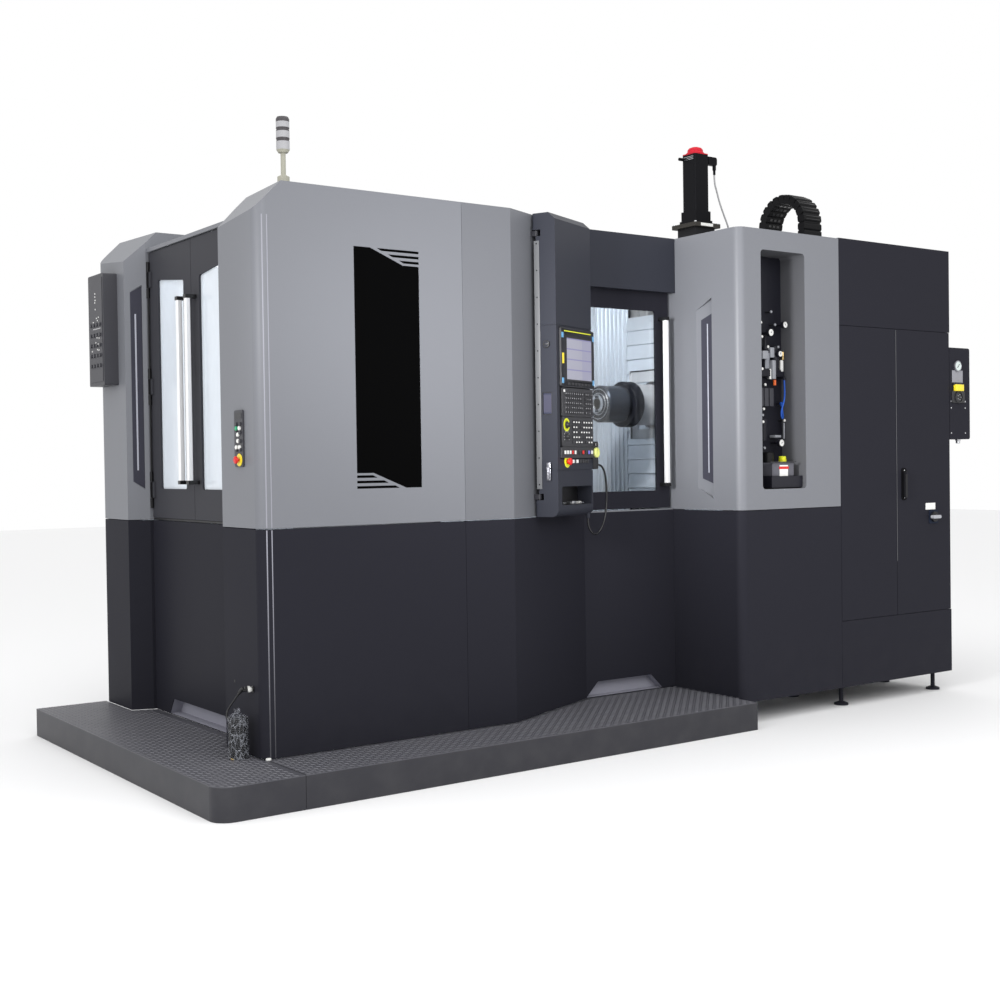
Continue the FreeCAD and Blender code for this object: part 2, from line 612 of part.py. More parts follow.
def operator_door():
    """Sliding door: folded frame round the window, with rollers along its top."""
    frame = front_plate(rectangle(DOOR_X0, DOOR_X1, DOOR_BOTTOM, DOOR_TOP), DOOR_Y0, DOOR_Y1, 6)
    opening = front_plate(rectangle(PANE_X0, PANE_X1, PANE_Z0, PANE_Z1), DOOR_Y0 - 1, DOOR_Y1 + 1, 16)
    rebate = front_plate(rectangle(PANE_X0 - 14, PANE_X1 + 14, PANE_Z0 - 14, PANE_Z1 + 14),
                         DOOR_Y0 + 12, DOOR_Y1 + 1, 16)
    rollers = [rod((x, DOOR_Y0 + 4, DOOR_TOP + 18), (x, DOOR_Y1 - 4, DOOR_TOP + 18), 20)
               for x in (DOOR_X0 + 90, DOOR_X1 - 90)]
    return fuse([cut(frame, [opening, rebate])] + rollers)


def operator_door_window():
    return front_plate(rectangle(PANE_X0 - 14, PANE_X1 + 14, PANE_Z0 - 14, PANE_Z1 + 14),
                       DOOR_Y0 + 12, DOOR_Y0 + 22, 16)


def operator_door_handle():
    return bar_handle(2898, 1436, 2442, DOOR_Y0, 36, lambda shape: shape)


LEAF_Y0 = STATION_Y0 + 6
LEAF_Y1 = CENTRE_Y - DOOR_GAP
GLASS_Y0, GLASS_Y1 = 615.0, 985.0
GLASS_Z0 = 1452.0
GLASS_OUTER_Z, GLASS_INNER_Z = 2653.0, 2612.0


def leaf_window(grow):
    return [(GLASS_Y0 - grow, GLASS_Z0 - grow), (GLASS_Y1 + grow, GLASS_Z0 - grow),
            (GLASS_Y1 + grow, GLASS_INNER_Z + grow), (GLASS_Y0 - grow, GLASS_OUTER_Z + grow)]


def leaf_frame():
    """Near leaf of the loading doors: its window is higher towards the post."""
    leaf = side_plate(rectangle(LEAF_Y0, LEAF_Y1, LEAF_Z0, LEAF_Z1), STATION_X, STATION_X + LEAF, [22, 3, 3, 22])
    opening = side_plate(leaf_window(0), STATION_X - 1, STATION_X + LEAF + 1, 14)
    rebate = side_plate(leaf_window(14), STATION_X + 12, STATION_X + LEAF + 1, 14)
    knuckles = [rod((STATION_X - LEAF_HINGE, LEAF_Y0 + 8, z), (STATION_X - LEAF_HINGE, LEAF_Y0 + 8, z + 90), 9)
                for z in (1400, 2000, 2620)]
    straps = [box(STATION_X - LEAF_HINGE, STATION_X, LEAF_Y0 + 8, LEAF_Y0 + 46, z, z + 90)
              for z in (1400, 2000, 2620)]
    pin_holes = rod((STATION_X - LEAF_HINGE, LEAF_Y0 + 8, 1300), (STATION_X - LEAF_HINGE, LEAF_Y0 + 8, 2800), 5.05)
    return cut(fuse([cut(leaf, [opening, rebate])] + knuckles + straps), [pin_holes])


def leaf_glass():
    return side_plate(leaf_window(14), STATION_X + 12, STATION_X + 20, 14)


def leaf_handle():
    def place(shape):
        shape.rotate(V(0, 0, 0), V(0, 0, 1), -90)
        shape.translate(V(STATION_X, CENTRE_Y - 58, 0))
        return shape
    return bar_handle(0, 1500, 2490, 0, 35, place)


def door_hinge_pins():
    """Pairs of hinge arms on the near jamb, with one long pin through them."""
    shapes = []
    x, y = STATION_X - LEAF_HINGE, LEAF_Y0 + 8
    pin = rod((x, y, 1340), (x, y, 2770), 5)
    for z in (1340, 1940, 2560, 1494, 2094, 2714):
        arm = fuse([rod((x, y, z), (x, y, z + 56), 9), box(x - 6, x + 6, STATION_Y0 - 4, y, z, z + 56)])
        shapes.append(arm)
    return fuse([pin] + shapes)


# ---------------------------------------------------------------- operator panel
def on_panel(shape):
    """Put a shape drawn in the panel's own frame in place.

    In that frame X runs along the panel, -Y points out of its front and Y = 0 lies in the
    angled cover behind it.
    """
    placed = shape.copy()
    placed.rotate(V(0, 0, 0), V(0, 0, 1), ANGLE_DEG)
    placed.translate(V(PANEL_X, PANEL_Y, 0))
    return placed


def hinge_brackets():
    """Fixed arms of the panel hinge, each with its pin, in the panel's frame."""
    shapes = []
    for z in PIVOT_LEVELS:
        arm = fuse([box(PIVOT_S - 14, PIVOT_S + 14, -PIVOT_D, 1.5, z - 14, z + 14),
                    rod((PIVOT_S, -PIVOT_D, z - 14), (PIVOT_S, -PIVOT_D, z + 14), 14)])
        pin = rod((PIVOT_S, -PIVOT_D, z - 34), (PIVOT_S, -PIVOT_D, z + 34), 7)
        shapes.append(fuse([arm, pin]))
    return shapes


def hinge_clearance():
    """Room round the fixed hinge arms in the swivelling column."""
    shapes = []
    for z in PIVOT_LEVELS:
        shapes.append(box(-1, 64, -64, 1, z - 18, z + 18))
        shapes.append(rod((PIVOT_S, -PIVOT_D, z - 36), (PIVOT_S, -PIVOT_D, z + 36), 7.05))
    return shapes


POCKET = (45.0, 412.0, 1333.0, 1437.0)
SEAT_Z0, SEAT_Z1 = 1590.0, 2322.0


def panel_body_profile():
    """Side view (depth, height) of the swivelling column."""
    front = -PANEL_D
    return [(-PANEL_GAP, PANEL_Z0), (front, PANEL_Z0), (front, 2912), (front + 42, TOP_Z), (-PANEL_GAP, TOP_Z)]


def panel_housing():
    """Swivelling column that carries the screen, the keys and the tray."""
    body = side_plate(panel_body_profile(), 0, PANEL_W, [0, 42, 0, 0, 0])
    edge = [e for e in body.Edges
            if e.BoundBox.ZLength > 1000 and e.BoundBox.XMax < 1 and e.BoundBox.YMin > -PANEL_GAP - 1]
    body = body.makeFillet(18, edge)
    seams = [cut(box(-1, PANEL_W + 1, -PANEL_D - 1, 0, z - 2, z + 2),
                 [box(4, PANEL_W - 4, -PANEL_D + 4, 1, z - 3, z + 3)])
             for z in (1528, 2330)]
    set_back = box(-1, PANEL_W + 1, -36, 1, PIVOT_LEVELS[0] - 18, PIVOT_LEVELS[1] + 18)
    s0, s1, z0, z1 = POCKET
    pocket = front_plate(rectangle(s0, s1, z0, z1), -PANEL_D - 1, -PANEL_D + 95, 16)
    seat = front_plate(rectangle(30, PANEL_W + 20, SEAT_Z0, SEAT_Z1), -PANEL_D - 1, -PANEL_D + 12, 4)
    button_row = front_plate(rectangle(40, PANEL_W - 6, 1566, 1586), -PANEL_D - 1, -PANEL_D + 3, 3)
    viewer = side_plate(rectangle(-121, -66, 1839, 1957), -1, 6, 3)
    tools = [pocket, seat, button_row, viewer, set_back] + seams + hinge_clearance()
    tools.append(knob_spindle_hole(ESTOP_S, ESTOP_Z, 10.05))
    lock = rod((0, -95, 2225), (-9, -95, 2225), 19)
    latch = side_plate(rectangle(-114, -94, 1475, 1569), -14, 0, 9)
    gland = turned([(0, -14), (12, -14), (12, 14), (9, 22), (0, 22)], (GLAND_S, -GLAND_D, PANEL_Z0), (0, 0, -1))
    return fuse([cut(body, tools), lock, latch, gland])


def knob_spindle_hole(s, z, radius):
    return rod((s, -PANEL_D - 20, z), (s, -PANEL_D + 30, z), radius)


GLAND_S, GLAND_D = 405.0, 130.0
ESTOP_S, ESTOP_Z = 112.0, 1576.0
FEED_S, FEED_Z = 98.0, 1780.0
SPEED_S, SPEED_Z = 98.0, 1714.0
KEY_FACE = -PANEL_D - 6.0


def panel_screen():
    """Monitor unit: raised bezel round the glass."""
    bezel = front_plate(rectangle(34, 434, 1992, 2318), -PANEL_D - 12, -PANEL_D + 11, 10)
    glass = front_plate(rectangle(88, 404, 2026, 2272), -PANEL_D - 13, -PANEL_D - 9, 4)
    return bezel.cut(glass)


def key_block(s0, z0, columns, rows, pitch_s, pitch_z, width, height):
    """Rows of raised key caps."""
    return [box(s0 + i * pitch_s, s0 + i * pitch_s + width, KEY_FACE - 4, KEY_FACE + 1,
                z0 + j * pitch_z, z0 + j * pitch_z + height) for i in range(columns) for j in range(rows)]


def panel_keys():
    """Keyboard unit over the machine keys, with the seats of the two override knobs."""
    upper = front_plate(rectangle(50, 424, 1828, 1986), KEY_FACE, -PANEL_D + 11, 6)
    lower = front_plate(rectangle(50, 424, 1660, 1824), KEY_FACE, -PANEL_D + 11, 6)
    row = front_plate(rectangle(34, 424, 1596, 1656), KEY_FACE, -PANEL_D + 11, 4)
    back = box(60, 420, -PANEL_D + 2, -PANEL_D + 11, 1610, 1980)
    keys = key_block(78, 1842, 9, 5, 25, 26, 20, 20) + key_block(322, 1842, 4, 5, 25, 26, 20, 20)
    keys += key_block(165, 1676, 8, 5, 31, 28, 24, 17)
    keys += key_block(60, 1614, 5, 1, 30, 20, 24, 26) + key_block(240, 1614, 5, 1, 36, 20, 26, 26)
    holes = [knob_spindle_hole(s, z, 5.05) for s, z in ((FEED_S, FEED_Z), (SPEED_S, SPEED_Z))]
    return cut(fuse([upper, lower, row, back] + keys), holes)


def override_knob(s, z, radius):
    """Round selector knob with a skirt, a grip bar and its spindle."""
    profile = [(0, -12), (5, -12), (5, 0.5), (radius, 0.5), (radius, 5), (radius * 0.72, 7), (radius * 0.66, 20),
               (0, 20)]
    knob = turned(profile, (s, KEY_FACE, z), (0, -1, 0))
    grip = box(s - 3, s + 3, KEY_FACE - 23, KEY_FACE - 19, z - radius * 0.62, z + radius * 0.62)
    return fuse([knob, grip])


def mushroom(base, axis, radius):
    """Emergency stop head on its stem."""
    profile = [(0, -24), (10, -24), (10, 6), (radius * 0.8, 9), (radius, 15), (radius * 0.96, 23),
               (radius * 0.6, 28), (0, 28)]
    return turned(profile, base, axis)


def panel_estop():
    return mushroom((ESTOP_S, -PANEL_D, ESTOP_Z), (0, -1, 0), 20)


PENDANT_S0, PENDANT_S1 = PANEL_W, 492.0
PENDANT_Z0, PENDANT_Z1 = 1530.0, 1690.0
DIAL_S, DIAL_Z, DIAL_R = 459.0, 1626.0, 29.0
PENDANT_FRONT = -158.0


def pendant():
    """Handwheel box that hangs on the panel's right side."""
    case = front_plate(rectangle(PENDANT_S0, PENDANT_S1, PENDANT_Z0, PENDANT_Z1), PENDANT_FRONT, PENDANT_FRONT + 46, 14)
    selectors = [rod((s, PENDANT_FRONT, 1672), (s, PENDANT_FRONT - 9, 1672), 8) for s in (442, 474)]
    sleeve = turned([(0, -2), (11, -2), (8, 26), (0, 26)], (PENDANT_S1, PENDANT_FRONT + 23, 1556), (1, 0, 0))
    hole = rod((DIAL_S, PENDANT_FRONT - 1, DIAL_Z), (DIAL_S, PENDANT_FRONT + 20, DIAL_Z), 5.05)
    return fuse([case, sleeve] + selectors).cut(hole)


def pendant_dial():
    """Handwheel of the pendant: rimmed disc with its crank button."""
    profile = [(0, -18), (5, -18), (5, 0.6), (DIAL_R, 0.6), (DIAL_R, 11), (DIAL_R - 4, 14), (DIAL_R - 6, 9), (0, 9)]
    wheel = turned(profile, (DIAL_S, PENDANT_FRONT, DIAL_Z), (0, -1, 0))
    crank = rod((DIAL_S, PENDANT_FRONT - 8, DIAL_Z + 15), (DIAL_S, PENDANT_FRONT - 20, DIAL_Z + 15), 5)
    return fuse([wheel, crank])


PENDANT_ROUTE = [
    (PENDANT_S1 + 26, -135, 1556), (556, -135, 1556), (589, -139, 1537), (608, -142, 1504), (613, -146, 1458),
    (615, -148, 1396), (614, -148, 1332), (602, -147, 1268), (576, -145, 1210), (532, -142, 1164),
    (476, -138, 1147), (426, -134, 1172), (GLAND_S, -GLAND_D, 1214), (GLAND_S, -GLAND_D, PANEL_Z0 - 22),
]


def pendant_cable():
    """Free cable from the handwheel box to the gland under the panel."""
    return tube_along(PENDANT_ROUTE, 6.0)


# ---------------------------------------------------------------- loading station controls
STRIP = (157.0, 254.0, 1571.0, 1849.0)
STATION_ESTOP_Y, STATION_ESTOP_Z = 198.0, 1605.0


def station_strip():
    """Button strip beside the loading doors."""
    y0, y1, z0, z1 = STRIP
    plate = side_plate(rectangle(y0, y1, z0, z1), -9, 0, 12)
    buttons = [rod((-9, y, z), (-17, y, z), 9) for y in (180, 224) for z in (1655, 1697, 1739, 1781)]
    display = side_plate(rectangle(168, 243, 1806, 1836), -11, -9, 3)
    collar = rod((-9, STATION_ESTOP_Y, STATION_ESTOP_Z), (-12, STATION_ESTOP_Y, STATION_ESTOP_Z), 26)
    hole = rod((1, STATION_ESTOP_Y, STATION_ESTOP_Z), (-20, STATION_ESTOP_Y, STATION_ESTOP_Z), 7.05)
    return fuse([plate, display, collar] + buttons).cut(hole)


def station_estop():
    profile = [(0, -11), (7, -11), (7, 10), (15, 13), (19, 18), (18, 25), (11, 29), (0, 29)]
    return turned(profile, (-9, STATION_ESTOP_Y, STATION_ESTOP_Z), (-1, 0, 0))


def remote_panel():
    """Second control box, on the outer face of the far post."""
    y0, y1 = 1865.0, 2118.0
    case = side_plate([(y0, 2062), (y1, 2062), (y1, 2716), (y0, 2716)], -85, 0, 10)
    face = side_plate(rectangle(y0 + 16, y1 - 16, 2084, 2694), -88, -85, 6)
    lamps = [rod((-88, y, z), (-96, y, z), 11) for y in (1915, 1965, 2015, 2065) for z in (2180, 2240, 2300, 2360, 2420)]
    return fuse([case, face] + lamps)


def signal_tower():
    """Signal lamps on a pole at the roof corner."""
    x, y = 205.0, 100.0
    foot = [(0, 0), (38, 0), (38, 6), (30, 16), (30, 40), (13, 50), (0, 50)]
    pole = [(0, 50), (12.5, 50), (12.5, 158), (0, 158)]
    lamps = [(0, 158), (24, 158), (33, 172), (33, 214), (31, 216), (31, 222), (33, 224), (33, 266), (31, 268),
             (31, 274), (33, 276), (33, 322), (28, 332), (0, 332)]
    shapes = [turned(profile, (x, y, TOP_Z), (0, 0, 1)) for profile in (foot, pole, lamps)]
    return fuse(shapes)


# ---------------------------------------------------------------- air-service bay
PLATE_Y = UTILITY_Y + BAY_DEPTH - 4


HOSE_START = (3512.0, PLATE_Y - 50, 2062.0)
HOSE_END = (3500.0, PLATE_Y - 40, 1902.0)
HOSE_ROUTE = [
    HOSE_START, (3508, PLATE_Y - 56, 2020), (3480, PLATE_Y - 84, 1972), (3448, PLATE_Y - 104, 1920),
    (3424, PLATE_Y - 104, 1868), (3440, PLATE_Y - 92, 1826), (3480, PLATE_Y - 70, 1824), (3500, PLATE_Y - 46, 1858),
    HOSE_END,
]


def gauge(x, y, z, radius):
    """Round pressure gauge facing the operator, on its stem."""
    face = turned([(0, 0), (radius, 0), (radius, 20), (radius - 3, 24), (radius - 3, 22), (0, 22)],
                  (x, y, z), (0, -1, 0))
    return face


def pneumatic_unit():
    """Back plate of the bay with its valves, regulators, gauges, hose and oil tank."""
    plate = front_plate(rectangle(BAY_X0 + 4, BAY_X1 - 4, BAY_Z0 + 4, BAY_Z1 - 4), PLATE_Y, PLATE_Y + 4, 22)
    manifold = box(3235, 3520, PLATE_Y - 44, PLATE_Y, 2085, 2125)
    regulators = []
    for x in (3285, 3370, 3455):
        bowl = turned([(0, 0), (24, 0), (26, 60), (28, 64), (28, 120), (20, 128), (20, 150), (0, 150)],
                      (x, PLATE_Y - 26, 2122), (0, 0, 1))
        regulators.append(bowl)
    valves = [box(3240 + i * 44, 3274 + i * 44, PLATE_Y - 60, PLATE_Y, 1900, 2010) for i in range(4)]
    gauges = [gauge(3366, PLATE_Y - 60, 2350, 24), gauge(3486, PLATE_Y - 66, 2402, 22),
              gauge(3455, PLATE_Y - 52, 2223, 21), gauge(3444, PLATE_Y - 66, 1673, 24)]
    stems = [rod((3366, PLATE_Y, 2350), (3366, PLATE_Y - 61, 2350), 7),
             rod((3486, PLATE_Y, 2402), (3486, PLATE_Y - 67, 2402), 7),
             rod((3444, PLATE_Y, 1673), (3444, PLATE_Y - 67, 1673), 7)]
    pipe = rod((3366, PLATE_Y - 30, 2270), (3366, PLATE_Y - 30, 2345), 8)
    filters = [turned([(0, 0), (20, 0), (22, 90), (24, 94), (24, 130), (0, 130)], (x, PLATE_Y - 23, 1690), (0, 0, 1))
               for x in (3290, 3352)]
    elbow = fuse([rod((HOSE_START[0], PLATE_Y, HOSE_START[2] + 18), (HOSE_START[0], HOSE_START[1], HOSE_START[2] + 18), 10),
                  rod((HOSE_START[0], HOSE_START[1], HOSE_START[2] + 18), HOSE_START, 9)])
    port = fuse([rod((HOSE_END[0], PLATE_Y, HOSE_END[2] + 16), (HOSE_END[0], HOSE_END[1], HOSE_END[2] + 16), 10),
                 rod((HOSE_END[0], HOSE_END[1], HOSE_END[2] + 16), HOSE_END, 9)])
    devices = regulators + valves + gauges + stems + filters
    return fuse([plate, manifold, pipe, elbow, port, air_hose(), lubricator()] + devices)


def air_hose():
    """Blue hose from the manifold down to the valves, held at both ends."""
    return tube_along(HOSE_ROUTE, 5.0)


def lubricator():
    """Oil tank of the bay on its tray, with a filler cap."""
    tank = front_plate(rectangle(3292, 3480, 1420, 1552), PLATE_Y - 150, PLATE_Y - 12, 14)
    cap = turned([(0, 0), (24, 0), (24, 20), (20, 26), (0, 26)], (3440, PLATE_Y - 96, 1552), (0, 0, 1))
    tray = box(3270, 3538, PLATE_Y - 168, PLATE_Y, 1400, 1470)
    tray = tray.cut(box(3274, 3534, PLATE_Y - 164, PLATE_Y - 4, 1424, 1480))
    pump = turned([(0, 0), (34, 0), (34, 60), (26, 66), (0, 66)], (3340, PLATE_Y - 70, 1552), (0, 0, 1))
    return fuse([tank, cap, tray, pump])


# ---------------------------------------------------------------- roof items
CHAIN_X, CHAIN_Y = 4508.0, 750.0
CHAIN_R, CHAIN_T, CHAIN_W = 216.0, 62.0, 176.0
CHAIN_TOP_Z = 3445.0
CHAIN_LINK = 50.0


def cable_carrier():
    """Cable chain that leaves the roof, turns over and goes back in, link by link."""
    centre_z = CHAIN_TOP_Z - CHAIN_R
    middle = CHAIN_R - CHAIN_T / 2
    links = []
    steps = 11
    for i in range(steps):
        angle = math.pi * (i + 0.5) / steps
        at = V(CHAIN_X, CHAIN_Y + middle * math.cos(angle), centre_z + middle * math.sin(angle))
        links.append(chain_link(at, math.degrees(angle)))
    for i in range(5):
        z = centre_z - CHAIN_LINK * (i + 0.62)
        links += [chain_link(V(CHAIN_X, CHAIN_Y + middle, z), 0), chain_link(V(CHAIN_X, CHAIN_Y - middle, z), 180)]
    near = CHAIN_Y - CHAIN_R
    foot = box(CHAIN_X - 125, CHAIN_X + 125, near - 70, near + 30, TOP_Z, TOP_Z + 6)
    return fuse([chain_core(centre_z), foot] + links)


def chain_link(at, angle):
    """One link's rounded block across the chain; the angle points out of the bend."""
    block = box(-CHAIN_W / 2, CHAIN_W / 2, -CHAIN_LINK / 2, CHAIN_LINK / 2, -CHAIN_T / 2, CHAIN_T / 2)
    block = block.makeFillet(13, [e for e in block.Edges if abs(e.BoundBox.XLength - CHAIN_W) < 1])
    block.rotate(V(0, 0, 0), V(1, 0, 0), angle - 90)
    block.translate(at)
    return block


def chain_core(centre_z):
    """The chain's core: two legs and the half turn over them."""
    outer, inner = CHAIN_R - 7, CHAIN_R - CHAIN_T + 7
    x0, x1 = CHAIN_X - CHAIN_W / 2 + 6, CHAIN_X + CHAIN_W / 2 - 6
    ring = rod((x0, CHAIN_Y, centre_z), (x1, CHAIN_Y, centre_z), outer)
    ring = ring.cut(rod((x0 - 9, CHAIN_Y, centre_z), (x1 + 9, CHAIN_Y, centre_z), inner))
    ring = ring.cut(box(x0 - 9, x1 + 9, CHAIN_Y - 400, CHAIN_Y + 400, centre_z - 500, centre_z))
    legs = [box(x0, x1, CHAIN_Y + a, CHAIN_Y + a + outer - inner, TOP_Z - 60, centre_z) for a in (-outer, inner)]
    return fuse([ring] + legs)


MOTOR_X, MOTOR_Y = 3920.0, CENTRE_Y
MOTOR_SIDE = 133.0
PLUG_X, PLUG_Y = MOTOR_X + 135.0, MOTOR_Y - 50.0


def axis_motor():
    """Servo motor of the vertical axis: bracket, flange, body, brake cap and angled connector."""
    half = MOTOR_SIDE / 2
    foot = motor_block(92.5, 2850, 3208, 4)
    flange = motor_block(121, 3208, 3237, 3)
    collar = motor_block(84, 3237, 3262, 10)
    block = motor_block(74.5, 3262, 3329, 6)
    body = motor_block(half, 3329, 3735, 14)
    cap = turned([(0, 0), (65, 0), (65, 6), (56, 14), (54, 30), (44, 42), (26, 49), (0, 49)],
                 (MOTOR_X, MOTOR_Y, 3735), (0, 0, 1))
    lug = rod((MOTOR_X - half + 2, MOTOR_Y + 52, 3700), (MOTOR_X - half - 40, MOTOR_Y + 52, 3700), 11)
    socket = box(MOTOR_X + half - 1, PLUG_X + 13, PLUG_Y - 16, PLUG_Y + 16, 3660, 3718)
    socket = socket.makeFillet(14, [e for e in socket.Edges
                                    if abs(e.BoundBox.YLength - 32) < 1 and e.BoundBox.XMin > PLUG_X])
    plug = turned([(0, -4), (13, -4), (13, 28), (9, 34), (9, 62), (0, 62)], (PLUG_X, PLUG_Y, 3660), (0, 0, -1))
    return fuse([foot, flange, collar, block, body, cap, lug, socket, plug])


def motor_block(half, z0, z1, radius):
    return plan(rectangle(MOTOR_X - half, MOTOR_X + half, MOTOR_Y - half, MOTOR_Y + half), z0, z1, radius)


MOTOR_ROUTE = [
    (PLUG_X, PLUG_Y, 3598), (PLUG_X, PLUG_Y, 3540), (4076, 1043, 3488), (4102, 1043, 3410), (4140, 1043, 3332),
    (4180, 1043, 3258), (4206, 1040, 3182), (4202, 1030, 3114), (4180, 1015, 3062), (4180, 1015, 3000),
]


def motor_cable():
    """Free cable of the servo motor, down to the gland on the column top."""
    return tube_along(MOTOR_ROUTE, 6.0)


# ---------------------------------------------------------------- wash hose at the step
VALVE_Y, VALVE_Z = 110.0, 490.0
HOSE_R = 4.0
COIL_X, COIL_Y = -74.0, 125.0
COIL_R = 42.0
COIL_TURNS = 22
COIL_PITCH = 8.8
COIL_TOP_Z = STEP_Z + HOSE_R + 0.6 + COIL_TURNS * COIL_PITCH
COIL_END = (COIL_X - COIL_R, COIL_Y + 2 * HOSE_R, COIL_TOP_Z)
ELBOW = (-56, VALVE_Y, VALVE_Z + 8)
WASH_ROUTE = [(-69.2, 131.6, 467.7), (-100, 182, 396), (-110, 178, 374), (-116, 159, COIL_TOP_Z), COIL_END]


def wash_valve():
    """Ball valve on the corner base, with the elbow that the wash hose hangs from."""
    y, z = VALVE_Y, VALVE_Z
    body = turned([(0, 0), (17, 0), (17, 4), (9, 6), (9, 9), (13, 14), (13, 22), (9, 28), (7, 31), (7, 56), (0, 56)],
                  (0, y, z), (-1, 0, 0))
    down = V(*WASH_ROUTE[0]) - V(*ELBOW)
    reach = down.Length
    elbow = turned([(0, 0), (9, 0), (9, reach - 14), (6, reach - 12), (6, reach - 0.1), (0, reach - 0.1)], ELBOW, down)
    knuckle = turned([(0, -9), (6, -7), (9, 0), (6, 7), (0, 9)], ELBOW, down)
    lever = box(-44, -18, y - 4, y + 4, z + 5, z + 18)
    return fuse([body, elbow, knuckle, lever])


def wash_lead():
    """Free lead of the wash hose, from the valve's elbow to its coil."""
    return tube_along(WASH_ROUTE, HOSE_R)


def coil_station(turn):
    """Point and unit direction of the coil's centre line after so many turns from its top."""
    angle = math.pi + 2 * math.pi * turn
    point = V(COIL_X + COIL_R * math.cos(angle), COIL_Y + COIL_R * math.sin(angle), COIL_TOP_Z - COIL_PITCH * turn)
    fall = -COIL_PITCH / (2 * math.pi * COIL_R)
    return point, V(-math.sin(angle), math.cos(angle), fall).normalize()


def biarc(start, begin, finish, end):
    """Two arcs with one tangent where they meet, from start along begin to finish along end."""
    chord = finish - start
    lean = begin + end
    a = 2 * (1 - begin.dot(end))
    b = 2 * chord.dot(lean)
    leg = (-b + math.sqrt(b * b + 4 * a * chord.dot(chord))) / (2 * a)
    first = start + begin * leg
    second = finish - end * leg
    joint = (first + second) * 0.5
    return [corner_arc(first, start, joint)[0], corner_arc(second, joint, finish)[0]]


def wash_coil():
    """Coil of the wash hose standing on the step, turn under turn, with a nozzle on its end."""
    stations = [coil_station(i / 4) for i in range(4 * COIL_TURNS + 1)]
    flat = V(0, -1, 0)
    stations[0] = (stations[0][0], flat)
    stations[-1] = (stations[-1][0], flat)
    edges = [Part.LineSegment(V(*COIL_END), stations[0][0]).toShape()]
    for (start, begin), (finish, end) in zip(stations, stations[1:]):
        edges += biarc(start, begin, finish, end)
    last = stations[-1][0]
    tip = last + flat * 2 * HOSE_R
    edges.append(Part.LineSegment(last, tip).toShape())
    wire = Part.Wire(edges)
    ring = Part.Wire(Part.makeCircle(HOSE_R, V(*COIL_END), flat))
    solid = wire.makePipeShell([ring], True, False)
    points = wire.discretize(Number=COIL_TURNS * 36)
    gap = min(points[i].distanceToPoint(points[j]) for i in range(0, 180) for j in range(i + 18, i + 60)) - 2 * HOSE_R
    print("wash coil: length %.0f mm, %d turns, least gap between turns %.2f mm, volume ratio %.4f"
          % (wire.Length, COIL_TURNS, gap, solid.Volume / (math.pi * HOSE_R ** 2 * wire.Length)))
    nozzle = turned([(0, -1), (4.5, -1), (4.5, 9), (3, 12), (3, 22), (0, 22)], tuple(tip), tuple(flat))
    return solid.fuse(nozzle)


# ---------------------------------------------------------------- inside the machine
def machine_bed():
    """Cast bed on levelling feet: long ways for the table and a cross way for the column."""
    z0, z1 = 60.0, 560.0
    body = plan([(700, 560), (2900, 560), (2900, 490), (4700, 490), (4700, 1696), (2900, 1696), (2900, 1626),
                 (700, 1626)], z0, z1, [30, 0, 30, 30, 30, 30, 0, 30])
    pedestal = plan(rectangle(430, 700, CENTRE_Y - 170, CENTRE_Y + 170), z0, z1, 20)
    ways = [box(1420, 3000, y - 30, y + 30, z1, z1 + 40) for y in (CENTRE_Y - 220, CENTRE_Y + 220)]
    cross = [box(x - 35, x + 35, 500, 1686, z1, z1 + 120) for x in (COLUMN_X0 + 120, COLUMN_X1 - 120)]
    feet = [turned([(0, 0), (70, 0), (70, 20), (30, 34), (30, 60), (0, 60)], (x, y, 0), (0, 0, 1))
            for x in (900, 1900, 2800) for y in (640, 1546)]
    feet += [turned([(0, 0), (70, 0), (70, 20), (30, 34), (30, 60), (0, 60)], (x, y, 0), (0, 0, 1))
             for x in (3200, 4560) for y in (600, 1586)]
    return fuse([body, pedestal] + ways + cross + feet)


def work_area_lining():
    """Bright sheet on the far wall of the work area, with its pressed ribs."""
    y = FAR_Y - 60
    wall = box(230, 3440, y, y + 3, 700, 2880)
    ribs = [box(300 + i * 150, 330 + i * 150, y - 8, y, 760, 2820) for i in range(21)]
    edges = [box(x, x + 3, y, FAR_Y - SKIN, 700, 2880) for x in (230, 3437)]
    return fuse([wall] + ribs + edges)


SLAT_HALF = 280.0
SLAT_Z0, SLAT_Z1 = 1290.0, 2590.0


def slat_cover():
    """Horizontal slats round the spindle head; they travel with the head."""
    count = 13
    pitch = (SLAT_Z1 - SLAT_Z0) / count
    profile = []
    for i in range(count):
        z = SLAT_Z0 + i * pitch
        profile += [(WAY_X - 14, z), (WAY_X, z + pitch - 6)]
    profile += [(WAY_X + 8, SLAT_Z1 - 6), (WAY_X + 8, SLAT_Z0)]
    plate = front_plate(profile, CENTRE_Y - SLAT_HALF, CENTRE_Y + SLAT_HALF)
    plate = plate.cut(rod((WAY_X - 60, CENTRE_Y, SPINDLE_Z), (WAY_X + 60, CENTRE_Y, SPINDLE_Z), 171))
    posts = [rod((WAY_X + 4, CENTRE_Y + y, SPINDLE_Z + z), (WAY_X + 44, CENTRE_Y + y, SPINDLE_Z + z), 12)
             for y in (-250, 250) for z in (-200, 200)]
    return fuse([plate] + posts)


